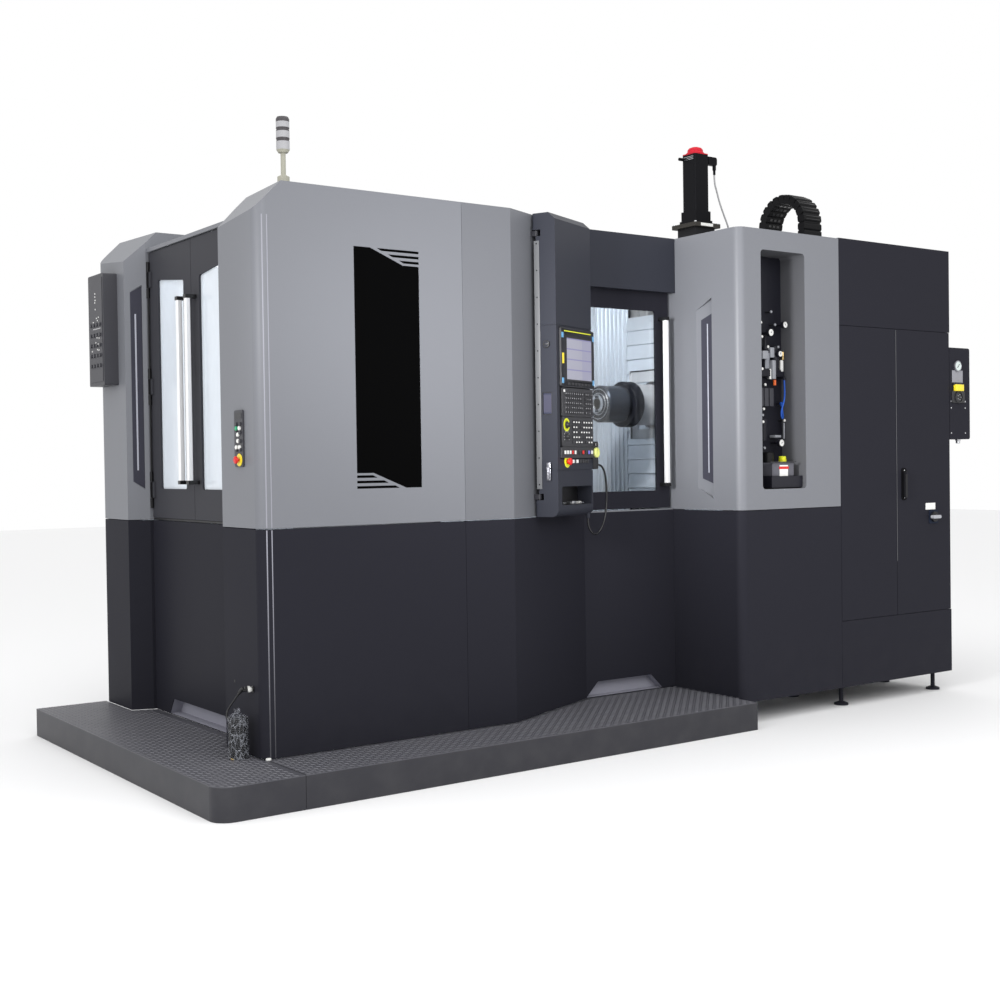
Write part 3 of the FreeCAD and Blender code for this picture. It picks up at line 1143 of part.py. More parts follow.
def way_cover():
    """Upright ribbed sheets beside the slats; they travel with the column."""
    shapes = []
    for side in (-1, 1):
        inner = CENTRE_Y + side * (SLAT_HALF + 6)
        outer = CENTRE_Y + side * 640
        y0, y1 = min(inner, outer), max(inner, outer)
        sheet = box(WAY_X + 10, WAY_X + 14, y0, y1, 900, 2900)
        ribs = [box(WAY_X, WAY_X + 10, y0 + 12 + i * 45, y0 + 32 + i * 45, 900, 2900) for i in range(8)]
        shapes += [fuse([sheet] + ribs)]
    ties = [box(WAY_X + 14, COLUMN_X0, CENTRE_Y + side * 330 - 20, CENTRE_Y + side * 330 + 20, z, z + 45)
            for side in (-1, 1) for z in (905, 2780)]
    cross = [box(WAY_X + 10, WAY_X + 14, CENTRE_Y - 640, CENTRE_Y + 640, z, z + 30) for z in (872, 2899)]
    return fuse(shapes + ties + cross)


def column():
    """Cast column: two uprights with the head between them, on its cross saddle."""
    z0, z1 = 681.0, 2850.0
    saddle = box(COLUMN_X0, COLUMN_X1, 703, 1483, z0, 930)
    uprights = [plan([(COLUMN_X0, y0), (COLUMN_X1, y0), (COLUMN_X1, y1), (COLUMN_X0, y1)], 930, 2660, 16)
                for y0, y1 in ((703, 893), (1293, 1483))]
    bridge = box(COLUMN_X0, COLUMN_X1, 703, 1483, 2660, z1)
    rails = [box(COLUMN_X0 - 24, COLUMN_X0, y - 22, y + 22, 960, 2640) for y in (798, 1388)]
    gland = turned([(0, 0), (16, 0), (16, 20), (12, 30), (0, 30)], (4180, 1015, 2970), (0, 0, 1))
    stand = box(4145, 4198, 985, 1045, z1, 2970)
    return fuse([saddle] + uprights + [bridge, gland, stand, vertical_screw()] + rails)


def vertical_screw():
    """Ball screw of the vertical axis, between the column's bridge and its saddle."""
    return rod((MOTOR_X, MOTOR_Y, 930), (MOTOR_X, MOTOR_Y, 2660), 25)


def spindle_head():
    """Headstock: carriage on the column rails, box between the uprights, round nose housing."""
    x0 = SPINDLE_NOSE_X + 210
    nose = turned([(0, 0), (150, 0), (155, 6), (155, 76), (140, 84), (140, WAY_X - x0 + 60), (0, WAY_X - x0 + 60)],
                  (x0, CENTRE_Y, SPINDLE_Z), (1, 0, 0))
    bore = rod((x0 - 1, CENTRE_Y, SPINDLE_Z), (x0 + 330, CENTRE_Y, SPINDLE_Z), 100.05)
    carriage = box(WAY_X + 44, COLUMN_X0 - 26, CENTRE_Y - 340, CENTRE_Y + 340, SPINDLE_Z - 260, SPINDLE_Z + 260)
    trunk = box(COLUMN_X0 - 26, COLUMN_X1 - 60, CENTRE_Y - 185, CENTRE_Y + 185, SPINDLE_Z - 220, SPINDLE_Z + 220)
    screw = rod((MOTOR_X, MOTOR_Y, SPINDLE_Z - 300), (MOTOR_X, MOTOR_Y, SPINDLE_Z + 300), 25.5)
    return cut(fuse([nose, carriage, trunk]), [bore, screw])


def spindle():
    """Rotating spindle with its drive keys and the tool taper open at the nose."""
    profile = [(35, 0), (62, 0), (64, 4), (64, 10), (114, 10), (124, 22), (124, 204), (100, 206), (100, 520), (0, 520),
               (0, 130), (22, 120)]
    body = turned(profile, (SPINDLE_NOSE_X, CENTRE_Y, SPINDLE_Z), (1, 0, 0))
    keys = [box(SPINDLE_NOSE_X - 8, SPINDLE_NOSE_X + 1, CENTRE_Y - 13, CENTRE_Y + 13, z, z + 18)
            for z in (SPINDLE_Z + 38, SPINDLE_Z - 56)]
    return fuse([body] + keys)


def table_saddle():
    """Table base that slides along the bed towards the spindle."""
    lower = box(TABLE_X - 330, TABLE_X + 330, CENTRE_Y - 330, CENTRE_Y + 330, 640, 820)
    shoes = [box(TABLE_X - 300, TABLE_X + 300, y - 60, y + 60, 601, 640) for y in (CENTRE_Y - 220, CENTRE_Y + 220)]
    top = turned([(0, 0), (300, 0), (290, 50), (0, 50)], (TABLE_X, CENTRE_Y, 820), (0, 0, 1))
    well = rod((TABLE_X, CENTRE_Y, 800), (TABLE_X, CENTRE_Y, 871), 90.05)
    return cut(fuse([lower, top] + shoes), well)


def pallet_plate(x):
    """Pallet: square plate with clipped corners and a grid of tapped holes."""
    half = PALLET / 2
    points = rectangle(x - half, x + half, CENTRE_Y - half, CENTRE_Y + half)
    plate = plan(points, PALLET_Z, PALLET_Z + PALLET_T, 26)
    holes = [rod((x + i * 100, CENTRE_Y + j * 100, PALLET_Z + PALLET_T - 30),
                 (x + i * 100, CENTRE_Y + j * 100, PALLET_Z + PALLET_T + 1), 8)
             for i in (-2, -1, 1, 2) for j in (-2, -1, 1, 2)]
    return cut(plate, holes)


def work_pallet():
    """Pallet on the rotary table, with the table's receiver under it."""
    hub = turned([(0, 0), (90, 0), (90, 54), (150, 56), (150, 180), (0, 180)], (TABLE_X, CENTRE_Y, 820), (0, 0, 1))
    return fuse([pallet_plate(TABLE_X), hub])


def setup_pallet():
    return pallet_plate(CHANGER_X - PALLET_REACH - 20)


def changer_arm():
    """Pallet changer: turning hub, a fork each way and the partition between the two sides."""
    hub = turned([(0, 0), (150, 0), (150, 360), (0, 360)], (CHANGER_X, CENTRE_Y, 600), (0, 0, 1))
    tines = []
    for side in (-1, 1):
        far_x = CHANGER_X + side * 860
        near_x = CHANGER_X + side * 60
        x0, x1 = min(far_x, near_x), max(far_x, near_x)
        for y in (-212, 212):
            tines.append(box(x0, x1, CENTRE_Y + y - 38, CENTRE_Y + y + 38, 920, 960))
    tines.append(box(CHANGER_X - 200, CHANGER_X + 200, CENTRE_Y - 250, CENTRE_Y + 250, 920, 960))
    pads = [turned([(0, 0), (24, 0), (18, height), (0, height)],
                   (CHANGER_X + side * (PALLET_REACH + 20) + i * 170, CENTRE_Y + j * 212, 960), (0, 0, 1))
            for side, height in ((-1, 40), (1, 38)) for i in (-1, 1) for j in (-1, 1)]
    wall = box(CHANGER_X - 20, CHANGER_X + 20, CENTRE_Y - PARTITION, CENTRE_Y + PARTITION, 980, 2760)
    foot = box(CHANGER_X - 60, CHANGER_X + 60, CENTRE_Y - 200, CENTRE_Y + 200, 960, 990)
    return fuse([hub, wall, foot] + tines + pads)


def changer_post():
    """Fixed bearing post of the pallet changer on the bed."""
    return turned([(0, 0), (190, 0), (170, 38), (0, 38)], (CHANGER_X, CENTRE_Y, 560), (0, 0, 1))


# ---------------------------------------------------------------- all pieces
def build():
    return {
        "machine_bed": fuse([machine_bed(), changer_post()]),
        "side_step": side_step(),
        "front_step": front_step(),
        "corner_cover": corner_cover(),
        "corner_base": corner_base(),
        "front_cover": front_cover(),
        "front_base": front_base(),
        "side_window": side_window(),
        "far_side_cover": far_side_cover(),
        "far_side_base": far_side_base(),
        "station_sill": station_sill(),
        "roof_panels": roof_panels(),
        "door_fascia": door_fascia(),
        "utility_cover": utility_cover(),
        "utility_base": utility_base(),
        "electrical_cabinet": electrical_cabinet(),
        "work_area_lining": work_area_lining(),
        "remote_panel": remote_panel(),
        "services_box": services_box(),
        "signal_tower": signal_tower(),
        "pneumatic_unit": pneumatic_unit(),
        "cable_carrier": cable_carrier(),
        "station_strip": station_strip(),
        "station_estop": station_estop(),
        "wash_valve": wash_valve(),
        "wash_lead": wash_lead(),
        "wash_coil": wash_coil(),
        "operator_door": operator_door(),
        "operator_door_window": operator_door_window(),
        "operator_door_handle": operator_door_handle(),
        "near_leaf": leaf_frame(),
        "near_leaf_window": leaf_glass(),
        "near_leaf_handle": leaf_handle(),
        "far_leaf": mirrored(leaf_frame()),
        "far_leaf_window": mirrored(leaf_glass()),
        "far_leaf_handle": mirrored(leaf_handle()),
        "panel_housing": on_panel(panel_housing()),
        "panel_screen": on_panel(panel_screen()),
        "panel_keys": on_panel(panel_keys()),
        "feed_knob": on_panel(override_knob(FEED_S, FEED_Z, 20)),
        "speed_knob": on_panel(override_knob(SPEED_S, SPEED_Z, 16)),
        "panel_estop": on_panel(panel_estop()),
        "pendant": on_panel(pendant()),
        "pendant_dial": on_panel(pendant_dial()),
        "pendant_cable": on_panel(pendant_cable()),
        "cabinet_door_left": cabinet_door_left(),
        "cabinet_door_right": cabinet_door_right(),
        "cabinet_handle": cabinet_handle(),
        "main_switch": main_switch(),
        "column": column(),
        "way_cover": way_cover(),
        "axis_motor": axis_motor(),
        "motor_cable": motor_cable(),
        "spindle_head": spindle_head(),
        "slat_cover": slat_cover(),
        "spindle": spindle(),
        "table_saddle": table_saddle(),
        "work_pallet": work_pallet(),
        "setup_pallet": setup_pallet(),
        "changer_arm": changer_arm(),
    }


def main():
    os.makedirs("parts", exist_ok=True)
    for name, shape in build().items():
        placed = shape.copy()
        placed.translate(V(-ORIGIN_X, -ORIGIN_Y, 0))
        placed.exportStep("parts/%s.step" % name)
        print("%-22s solids %d  valid %s  volume %.1f litres"
              % (name, len(placed.Solids), placed.isValid(), placed.Volume / 1e6))


main()
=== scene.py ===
# %% [markdown]
# # Dressing a horizontal machining centre
# The machine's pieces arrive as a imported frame: solids with the right sizes and places, and
# no finish. This lesson gives each piece the finish of the real one, models what is too fine or
# too soft for the solids, and sets up a camera and studio like those of the photograph.

# %% Load the machine
import math
import random

import bmesh
import bpy
from mathutils import Matrix, Vector


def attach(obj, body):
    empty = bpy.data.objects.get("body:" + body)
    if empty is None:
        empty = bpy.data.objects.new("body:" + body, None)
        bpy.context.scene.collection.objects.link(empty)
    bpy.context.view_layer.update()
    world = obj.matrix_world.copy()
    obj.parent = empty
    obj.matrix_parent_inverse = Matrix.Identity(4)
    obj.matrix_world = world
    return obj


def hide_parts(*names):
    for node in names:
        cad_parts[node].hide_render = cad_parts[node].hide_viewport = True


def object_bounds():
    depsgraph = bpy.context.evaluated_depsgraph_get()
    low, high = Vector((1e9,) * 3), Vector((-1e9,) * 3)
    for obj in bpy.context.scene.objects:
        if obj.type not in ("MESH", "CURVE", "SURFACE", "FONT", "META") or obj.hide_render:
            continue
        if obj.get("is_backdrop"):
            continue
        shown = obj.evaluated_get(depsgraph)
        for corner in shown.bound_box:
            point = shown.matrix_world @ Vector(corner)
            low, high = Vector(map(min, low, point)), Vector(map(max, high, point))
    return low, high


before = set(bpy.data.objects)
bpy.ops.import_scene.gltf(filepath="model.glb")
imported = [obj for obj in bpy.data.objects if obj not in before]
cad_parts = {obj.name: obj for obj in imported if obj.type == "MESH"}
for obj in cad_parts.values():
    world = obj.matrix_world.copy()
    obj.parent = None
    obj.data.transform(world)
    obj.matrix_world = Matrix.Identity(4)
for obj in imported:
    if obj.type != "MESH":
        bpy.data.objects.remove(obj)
cad_low, cad_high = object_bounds()
print("overall size in metres:", [round(b - a, 3) for a, b in zip(cad_low, cad_high)])

# %% [markdown]
# ## Where things are
# A machine's drawings count from a corner of its covers, in millimetres. Blender's frame counts
# in metres from the floor under the middle. Two small helpers turn one into the other, so every
# size below can be read as it would be on the shop floor. The control panel stands at an angle,
# so it has a helper of its own: along its front, out of its front (negative) and up.

# %% Helpers for places
ORIGIN = Vector((2382.5, 890.5, 0.0))
PANEL_TURN = math.radians(24.0)
PANEL_CORNER = Vector((1703.0, 200.0 * math.tan(PANEL_TURN), 0.0))


def at(x, y, z):
    """A point of the machine's drawing, in Blender's metres."""
    return (Vector((x, y, z)) - ORIGIN) / 1000.0


def on_panel(along, out, up):
    """A point of the control panel's own drawing, in Blender's metres."""
    c, s = math.cos(PANEL_TURN), math.sin(PANEL_TURN)
    spot = PANEL_CORNER + Vector((along * c - out * s, along * s + out * c, up))
    return (spot - ORIGIN) / 1000.0


print("the panel's lower left corner is at", tuple(round(v, 3) for v in on_panel(0, 0, 1270)))

# %% [markdown]
# ## The camera
# The photograph was taken from the front left corner at about eye height, with a normal lens.
# Its place came from lining up edges of the machine, so the camera is given as a position, a
# heading, a tilt and a small roll. The lens was measured in picture points, and a small shift
# puts its centre where it was.

# %% Camera
PICTURE = 1000.0
FOCAL_POINTS, CENTRE_X, CENTRE_Y = 1371.413, 513.256, 489.692
SENSOR = 36.0
HEADING, TILT, ROLL = (math.radians(v) for v in (35.9173, -1.0855, -0.8042))


def new_object(name, data):
    """An object in the scene that shows a mesh, a curve, a light or a lens."""
    made = bpy.data.objects.new(name, data)
    bpy.context.scene.collection.objects.link(made)
    return made


forward = Vector((math.sin(HEADING) * math.cos(TILT), math.cos(HEADING) * math.cos(TILT), math.sin(TILT)))
right = Vector((math.cos(HEADING), -math.sin(HEADING), 0.0))
up = right.cross(forward)
rolled_right = math.cos(ROLL) * right + math.sin(ROLL) * up
rolled_up = -math.sin(ROLL) * right + math.cos(ROLL) * up

lens = bpy.data.cameras.new("photo_lens")
lens.sensor_width = SENSOR
lens.lens = FOCAL_POINTS * SENSOR / PICTURE
lens.shift_x = (PICTURE / 2 - CENTRE_X) / PICTURE
lens.shift_y = (CENTRE_Y - PICTURE / 2) / PICTURE
lens.clip_start, lens.clip_end = 0.1, 100.0
camera = new_object("photo_camera", lens)
facing = Matrix((rolled_right, rolled_up, -forward)).transposed().to_4x4()
camera.matrix_world = Matrix.Translation(at(-2863.4, -6021.5, 1568.0)) @ facing
bpy.context.scene.camera = camera
print("camera", [round(v, 3) for v in camera.location], "lens", round(lens.lens, 1), "mm")

# %% [markdown]
# ## Node helpers
# A finish in Blender is a small net of nodes. Written out in full, such nets hide the idea among
# the wiring, so a few helpers come first: one adds a node and fills its sockets, and another ends
# each material in one Principled surface, with a fine relief where it is given a height.

# %% Materials and nodes
def new_material(name):
    """An empty node material, ready for a surface."""
    material = bpy.data.materials.new(name)
    material.use_nodes = True
    material.node_tree.nodes.clear()
    return material, material.node_tree


def node(tree, kind, values=None, **settings):
    """Add a node, set its properties, and fill or link its input sockets by name or number."""
    made = tree.nodes.new(kind)
    for key, value in settings.items():
        setattr(made, key, value)
    for key, value in (values or {}).items():
        if isinstance(value, bpy.types.NodeSocket):
            tree.links.new(value, made.inputs[key])
        else:
            made.inputs[key].default_value = value
    return made


def surface(tree, values, height=None, strength=0.1, depth=0.0006):
    """The material's Principled surface; a height gives it a fine relief, depth metres deep."""
    if height is not None:
        relief = node(tree, "ShaderNodeBump", {"Height": height, "Strength": strength, "Distance": depth})
        values = {**values, "Normal": relief.outputs[0]}
    skin = node(tree, "ShaderNodeBsdfPrincipled", values)
    output = node(tree, "ShaderNodeOutputMaterial")
    tree.links.new(skin.outputs[0], output.inputs[0])
    return skin


print("materials can be made from nodes")

# %% [markdown]
# **Values between the nodes.** What drives a finish is mostly simple sums: a noise is centred,
# scaled, kept in a range and used to mix two colours. Each of these is one short call.

# %% Sums, ranges and noise
def maths(tree, operation, *terms, **settings):
    """The result of a Math node on one or two terms."""
    return node(tree, "ShaderNodeMath", dict(enumerate(terms)), operation=operation, **settings).outputs[0]


def vector_maths(tree, operation, first, second):
    """The result of a Vector Math node; for SCALE the second term is a number."""
    socket = "Scale" if operation == "SCALE" else 1
    return node(tree, "ShaderNodeVectorMath", {0: first, socket: second}, operation=operation).outputs[0]


def ranged(tree, value, to_low, to_high, from_low=0.0, from_high=1.0):
    """A value carried from one range to another, and kept inside it."""
    return node(tree, "ShaderNodeMapRange", {"Value": value, "From Min": from_low, "From Max": from_high,
                                             "To Min": to_low, "To Max": to_high}).outputs[0]


def blend(tree, factor, first, second):
    """Two colours mixed by a factor."""
    mixed = node(tree, "ShaderNodeMix", {"Factor": factor, "A": first, "B": second}, data_type="RGBA")
    return mixed.outputs["Result"]


def noise(tree, scale, detail, place=None, roughness=0.5):
    """A noise's value; without a place it spans the object's own box."""
    values = {"Scale": scale, "Detail": detail, "Roughness": roughness}
    if place is not None:
        values["Vector"] = place
    return node(tree, "ShaderNodeTexNoise", values).outputs["Fac"]


print("node helpers ready")

# %% [markdown]
# ## The studio
# A product photograph of a big machine is lit by wide soft boxes and cut out on white. A large
# pale floor, a bright even sky and a few big soft lights do the same: one over the operator's
# side, one over the loading end, and one above for the step and the roof edges. Three small ones
# help where the big ones don't reach: on the utility column, in the work area and behind the
# loading doors. The plain Standard view keeps white paper white, as such a cut-out has it.

# %% Studio floor and sky
floor_mesh = bpy.data.meshes.new("studio_floor")
floor_bm = bmesh.new()
bmesh.ops.create_grid(floor_bm, x_segments=24, y_segments=24, size=30.0)
floor_bm.to_mesh(floor_mesh)
floor_bm.free()
floor = new_object("studio_floor", floor_mesh)
floor_finish, tree = new_material("studio_floor")
tone = blend(tree, noise(tree, 0.8, 3.0), (0.86, 0.86, 0.87, 1), (0.92, 0.92, 0.92, 1))
surface(tree, {"Base Color": tone, "Roughness": 0.85})
floor_mesh.materials.append(floor_finish)
floor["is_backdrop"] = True

sky = bpy.data.worlds.new("studio_sky")
bpy.context.scene.world = sky
sky.use_nodes = True
background = sky.node_tree.nodes["Background"]
background.inputs["Color"].default_value = (1.0, 1.0, 1.0, 1.0)
background.inputs["Strength"].default_value = 1.0
bpy.context.scene.view_settings.view_transform = "Standard"
print("floor", round(floor.dimensions.x), "m wide, sky strength 1")

# %% [markdown]
# **Soft boxes.** A rectangular area light is a soft box: the larger it is, the softer the edge of
# its shadows. The small ones are weak, and one has a narrow beam, so each lights only what it is
# meant for.

# %% Soft lights
def soft_box(name, spot, aim, width, height, power, spread=180.0):
    """A rectangular studio light, pointed at a place on the machine; spread narrows its beam."""
    light = bpy.data.lights.new(name, "AREA")
    light.spread = math.radians(spread)
    light.shape, light.size, light.size_y, light.energy = "RECTANGLE", width, height, power
    holder = new_object(name, light)
    holder.location = spot
    holder.rotation_euler = (aim - spot).to_track_quat("-Z", "Y").to_euler()


soft_box("front_box", at(400, -6500, 4600), at(1500, 0, 1200), 6.0, 4.0, 200.0)
soft_box("loading_box", at(-6500, -2600, 3600), at(0, 400, 1500), 4.0, 4.0, 130.0)
soft_box("top_box", at(1500, 0, 7000), at(1800, 600, 0), 7.0, 5.0, 120.0)
soft_box("column_box", at(-2300, -1750, 2500), at(2980, 60, 2080), 0.6, 0.8, 14.0, 38.0)
soft_box("work_lamp", at(2420, 560, 2780), at(2520, 1250, 2300), 0.7, 0.3, 32.0)
soft_box("bench_lamp", at(560, 1390, 2760), at(470, 1480, 1300), 0.7, 0.5, 15.0)

# %% [markdown]
# ## Effects that several finishes share
# Paint, cast iron and sheet steel differ in colour, but they share effects: a fine grain that breaks the
# highlight, brushing lines, and dust that settles low down. Each effect is a node group with named inputs,
# built once, so one place holds its recipe and each material only sets its values.

# %% Group helpers
FLOAT, COLOUR, VECTOR = "NodeSocketFloat", "NodeSocketColor", "NodeSocketVector"
MID_GREY = (0.5, 0.5, 0.5, 1)


def new_group(name, inputs, outputs):
    """A shader node group with typed sockets; returns it with its input values and output node."""
    group = bpy.data.node_groups.new(name, "ShaderNodeTree")
    for label, kind, value in inputs:
        socket = group.interface.new_socket(name=label, in_out="INPUT", socket_type=kind)
        socket.default_value = value
    for label, kind in outputs:
        group.interface.new_socket(name=label, in_out="OUTPUT", socket_type=kind)
    return group, group.nodes.new("NodeGroupInput").outputs, group.nodes.new("NodeGroupOutput")


def give_out(group, group_out, results):
    """Link the results of a group to its outputs."""
    for label, result in results.items():
        group.links.new(result, group_out.inputs[label])
    print("group", group.name, "with", len(group.nodes), "nodes")


def group_node(tree, group, values):
    """Place a shared group in a material, fill its inputs and return its outputs."""
    return node(tree, "ShaderNodeGroup", values, node_tree=group).outputs

# %% [markdown]
# **Paint grain.** Powder coat on machine covers is finely textured, like orange peel, and its
# tone drifts slightly over a metre. One fine noise gives the height, a broad one the drift.

# %% Paint grain group
paint_grain, given, group_out = new_group(
    "paint_grain", [("Colour", COLOUR, MID_GREY), ("Fineness", FLOAT, 420.0), ("Drift", FLOAT, 0.05)],
    [("Colour", COLOUR), ("Height", FLOAT), ("Roughness", FLOAT)])
place = node(paint_grain, "ShaderNodeTexCoord").outputs["Object"]
fine = noise(paint_grain, given["Fineness"], 2.0, place)
broad = noise(paint_grain, 1.3, 3.0, place)
swing = maths(paint_grain, "MULTIPLY", maths(paint_grain, "SUBTRACT", broad, 0.5), given["Drift"])
speck = maths(paint_grain, "MULTIPLY", maths(paint_grain, "SUBTRACT", fine, 0.5), 0.16)
level = maths(paint_grain, "ADD", maths(paint_grain, "ADD", swing, speck), 1.0)
give_out(paint_grain, group_out, {
    "Colour": vector_maths(paint_grain, "SCALE", given["Colour"], level),
    "Height": fine, "Roughness": ranged(paint_grain, broad, 0.36, 0.5)})

# %% [markdown]
# **Shop dust.** On a floor-standing machine, dust and coolant mist settle low down and on what
# faces up. The mask is strong near the floor, fades with height and is broken up by noise.

# %% Shop dust group
shop_dust, given, group_out = new_group(
    "shop_dust", [("Colour", COLOUR, MID_GREY), ("Dust", COLOUR, (0.34, 0.33, 0.32, 1)),
                  ("Height", FLOAT, 0.6), ("Amount", FLOAT, 0.25)],
    [("Colour", COLOUR), ("Mask", FLOAT)])
geometry = node(shop_dust, "ShaderNodeNewGeometry").outputs
spot = node(shop_dust, "ShaderNodeSeparateXYZ", {0: geometry["Position"]})
facing_up = node(shop_dust, "ShaderNodeSeparateXYZ", {0: geometry["Normal"]}).outputs["Z"]
low_down = ranged(shop_dust, spot.outputs["Z"], 1.0, 0.0, 0.0, given["Height"])
settled = maths(shop_dust, "ADD", low_down, ranged(shop_dust, facing_up, 0.0, 1.0, 0.5, 1.0), use_clamp=True)
patch = ranged(shop_dust, noise(shop_dust, 9.0, 6.0, geometry["Position"]), 0.0, 1.0, 0.4, 0.75)
mask = maths(shop_dust, "MULTIPLY", maths(shop_dust, "MULTIPLY", settled, patch), given["Amount"])
give_out(shop_dust, group_out, {"Colour": blend(shop_dust, mask, given["Colour"], given["Dust"]), "Mask": mask})

# %% [markdown]
# **Brushing.** Stainless sheet and anodised bars carry fine parallel lines. A noise squeezed
# along one direction draws them; the input Stretch says how much along X, Y and Z.

# %% Brushing group
brushing, given, group_out = new_group(
    "brushing", [("Colour", COLOUR, (0.7, 0.7, 0.7, 1)), ("Stretch", VECTOR, (400.0, 400.0, 4.0)),
                 ("Contrast", FLOAT, 0.15)],
    [("Colour", COLOUR), ("Height", FLOAT), ("Roughness", FLOAT)])
place = node(brushing, "ShaderNodeTexCoord").outputs["Object"]
lines = noise(brushing, 1.0, 4.0, vector_maths(brushing, "MULTIPLY", place, given["Stretch"]), 0.6)
swing = maths(brushing, "MULTIPLY", maths(brushing, "SUBTRACT", lines, 0.5), given["Contrast"])
give_out(brushing, group_out, {
    "Colour": vector_maths(brushing, "SCALE", given["Colour"], maths(brushing, "ADD", swing, 1.0)),
    "Height": lines, "Roughness": ranged(brushing, lines, 0.22, 0.42)})

# %% [markdown]
# ## Finishes
# Each finish below is one Principled shader fed by the groups. What is the same all over a surface, such as
# metalness or specular level, is set on the shader itself. Painted covers come first: their colours are dark
# greys, and a low specular level keeps the textured coat from shining.

# %% Painted covers
def painted(name, colour, fineness=420.0, bump=0.12, dust=0.2, shine=0.35):
    """Textured paint over sheet or castings; shine is its specular level."""
    material, tree = new_material(name)
    grain = group_node(tree, paint_grain, {"Colour": (*colour, 1), "Fineness": fineness})
    dirt = group_node(tree, shop_dust, {"Colour": grain["Colour"], "Amount": dust})
    surface(tree, {"Base Color": dirt["Colour"], "Roughness": grain["Roughness"], "Specular IOR Level": shine},
            grain["Height"], bump, 0.0006)
    return material


LIGHT_GREY, DARK_GREY = (0.172, 0.178, 0.197), (0.0205, 0.0205, 0.0272)
light_paint = painted("light_cover_paint", LIGHT_GREY, dust=0.02)
dark_paint = painted("dark_cover_paint", DARK_GREY, dust=0.012, shine=0.03)
panel_paint = painted("panel_paint", (0.028, 0.030, 0.040), dust=0.01, shine=0.14)
remote_paint = painted("remote_paint", (0.050, 0.050, 0.058), dust=0.01, shine=0.3)
cast_paint = painted("casting_paint", (0.33, 0.34, 0.35), fineness=160.0, bump=0.3)
black_paint = painted("black_paint", (0.008, 0.008, 0.010), dust=0.03, shine=0.25)
carrier_paint = painted("carrier_paint", (0.0042, 0.0042, 0.005), dust=0.0, shine=0.12)
print("paints:", light_paint.name, dark_paint.name, panel_paint.name, cast_paint.name)

# %% [markdown]
# **Metals.** Bare metal on a machine is never a mirror: it was ground, brushed or blasted. The
# brushing group draws the marks, and a lower metalness stands for sheet that has gone dull.

# %% Metals
def metal(name, colour, stretch=(400.0, 400.0, 4.0), contrast=0.15, metallic=1.0, shine=0.5):
    """Bare metal with brushing lines along one direction."""
    material, tree = new_material(name)
    lines = group_node(tree, brushing, {"Colour": (*colour, 1), "Stretch": stretch, "Contrast": contrast})
    surface(tree, {"Base Color": lines["Colour"], "Roughness": lines["Roughness"], "Metallic": metallic,
                   "Specular IOR Level": shine}, lines["Height"], 0.05, 0.0004)
    return material


stainless = metal("bright_sheet", (0.62, 0.67, 0.73), metallic=0.35)
nose_steel = metal("nose_steel", (0.030, 0.036, 0.048), stretch=(300.0, 40.0, 40.0), metallic=0.4, shine=0.12)
bar_aluminium = metal("bar_aluminium", (0.82, 0.82, 0.83), contrast=0.08)
ground_steel = metal("ground_steel", (0.62, 0.63, 0.65), stretch=(60.0, 400.0, 400.0))
brass = metal("brass", (0.72, 0.53, 0.24), contrast=0.1)
print("metals:", stainless.name, bar_aluminium.name, ground_steel.name, brass.name)

# %% [markdown]
# **Plastics and rubber.** Moulded parts have a very fine stipple and a soft sheen; gloss parts
# only differ by roughness. The colour varies a little with a noise, as pigment does. One table
# holds them all, because on such a machine they differ by little more than colour.

# %% Plastics and rubber
def stipple(tree, colour, fineness, roughness):
    """Colour, height and roughness of a moulded face whose roughness wavers a little."""
    grain = group_node(tree, paint_grain, {"Colour": colour, "Fineness": fineness, "Drift": 0.03})
    return grain["Colour"], grain["Height"], ranged(tree, grain["Height"], roughness - 0.05, roughness + 0.05)


def moulded(name, colour, roughness=0.45, glow=0.0):
    """Moulded plastic or rubber; glow is for lamps and lit displays."""
    material, tree = new_material(name)
    tint, height, matt = stipple(tree, (*colour, 1), 900.0, roughness)
    lit = {"Emission Color": tint, "Emission Strength": glow} if glow else {}
    surface(tree, {"Base Color": tint, "Roughness": matt, **lit}, height, 0.08, 0.0003)
    return material


black_plastic = moulded("black_plastic", (0.015, 0.015, 0.017))
key_plastic = moulded("key_plastic", (0.03, 0.03, 0.034))
white_plastic = moulded("white_plastic", (0.78, 0.78, 0.76), roughness=0.35)
red_plastic = moulded("red_plastic", (0.62, 0.015, 0.012), roughness=0.28)
yellow_plastic = moulded("yellow_plastic", (0.85, 0.68, 0.03), roughness=0.35)
dial_yellow = moulded("dial_yellow", (0.72, 0.76, 0.24), roughness=0.35)
hose_rubber = moulded("hose_rubber", (0.005, 0.005, 0.006), roughness=0.4)
pendant_rubber = moulded("pendant_rubber", (0.014, 0.014, 0.016), roughness=0.2)
cable_sheath = moulded("cable_sheath", (0.34, 0.34, 0.35), roughness=0.5)
print("plastics made:", len([m for m in bpy.data.materials if "plastic" in m.name]))

# %% [markdown]
# **Glass.** The operator's side window is almost black laminated glass. The sliding door has a
# clear pane that shows the bright work area. The loading doors have milky ones, which glow with
# the light behind them but show nothing of it.

# %% Glass
def pane(name, colour, transmission, roughness, shine=0.5):
    """Safety glass; a faint noise in the surface bends its reflections."""
    material, tree = new_material(name)
    ripple = noise(tree, 14.0, 1.0)
    tint = blend(tree, ripple, (*colour, 1), (*(c * 0.94 for c in colour), 1))
    surface(tree, {"Base Color": tint, "Roughness": roughness, "Transmission Weight": transmission,
                   "IOR": 1.45, "Specular IOR Level": shine}, ripple, 0.02, 0.002)
    return material


dark_glass = pane("dark_glass", (0.0015, 0.0015, 0.0016), 0.0, 0.06, shine=0.02)
clear_glass = pane("clear_glass", (0.93, 0.96, 0.98), 1.0, 0.03, shine=0.03)
milky_glass = pane("milky_glass", (0.84, 0.90, 0.97), 0.22, 0.12)
print("panes:", dark_glass.name, clear_glass.name, milky_glass.name)

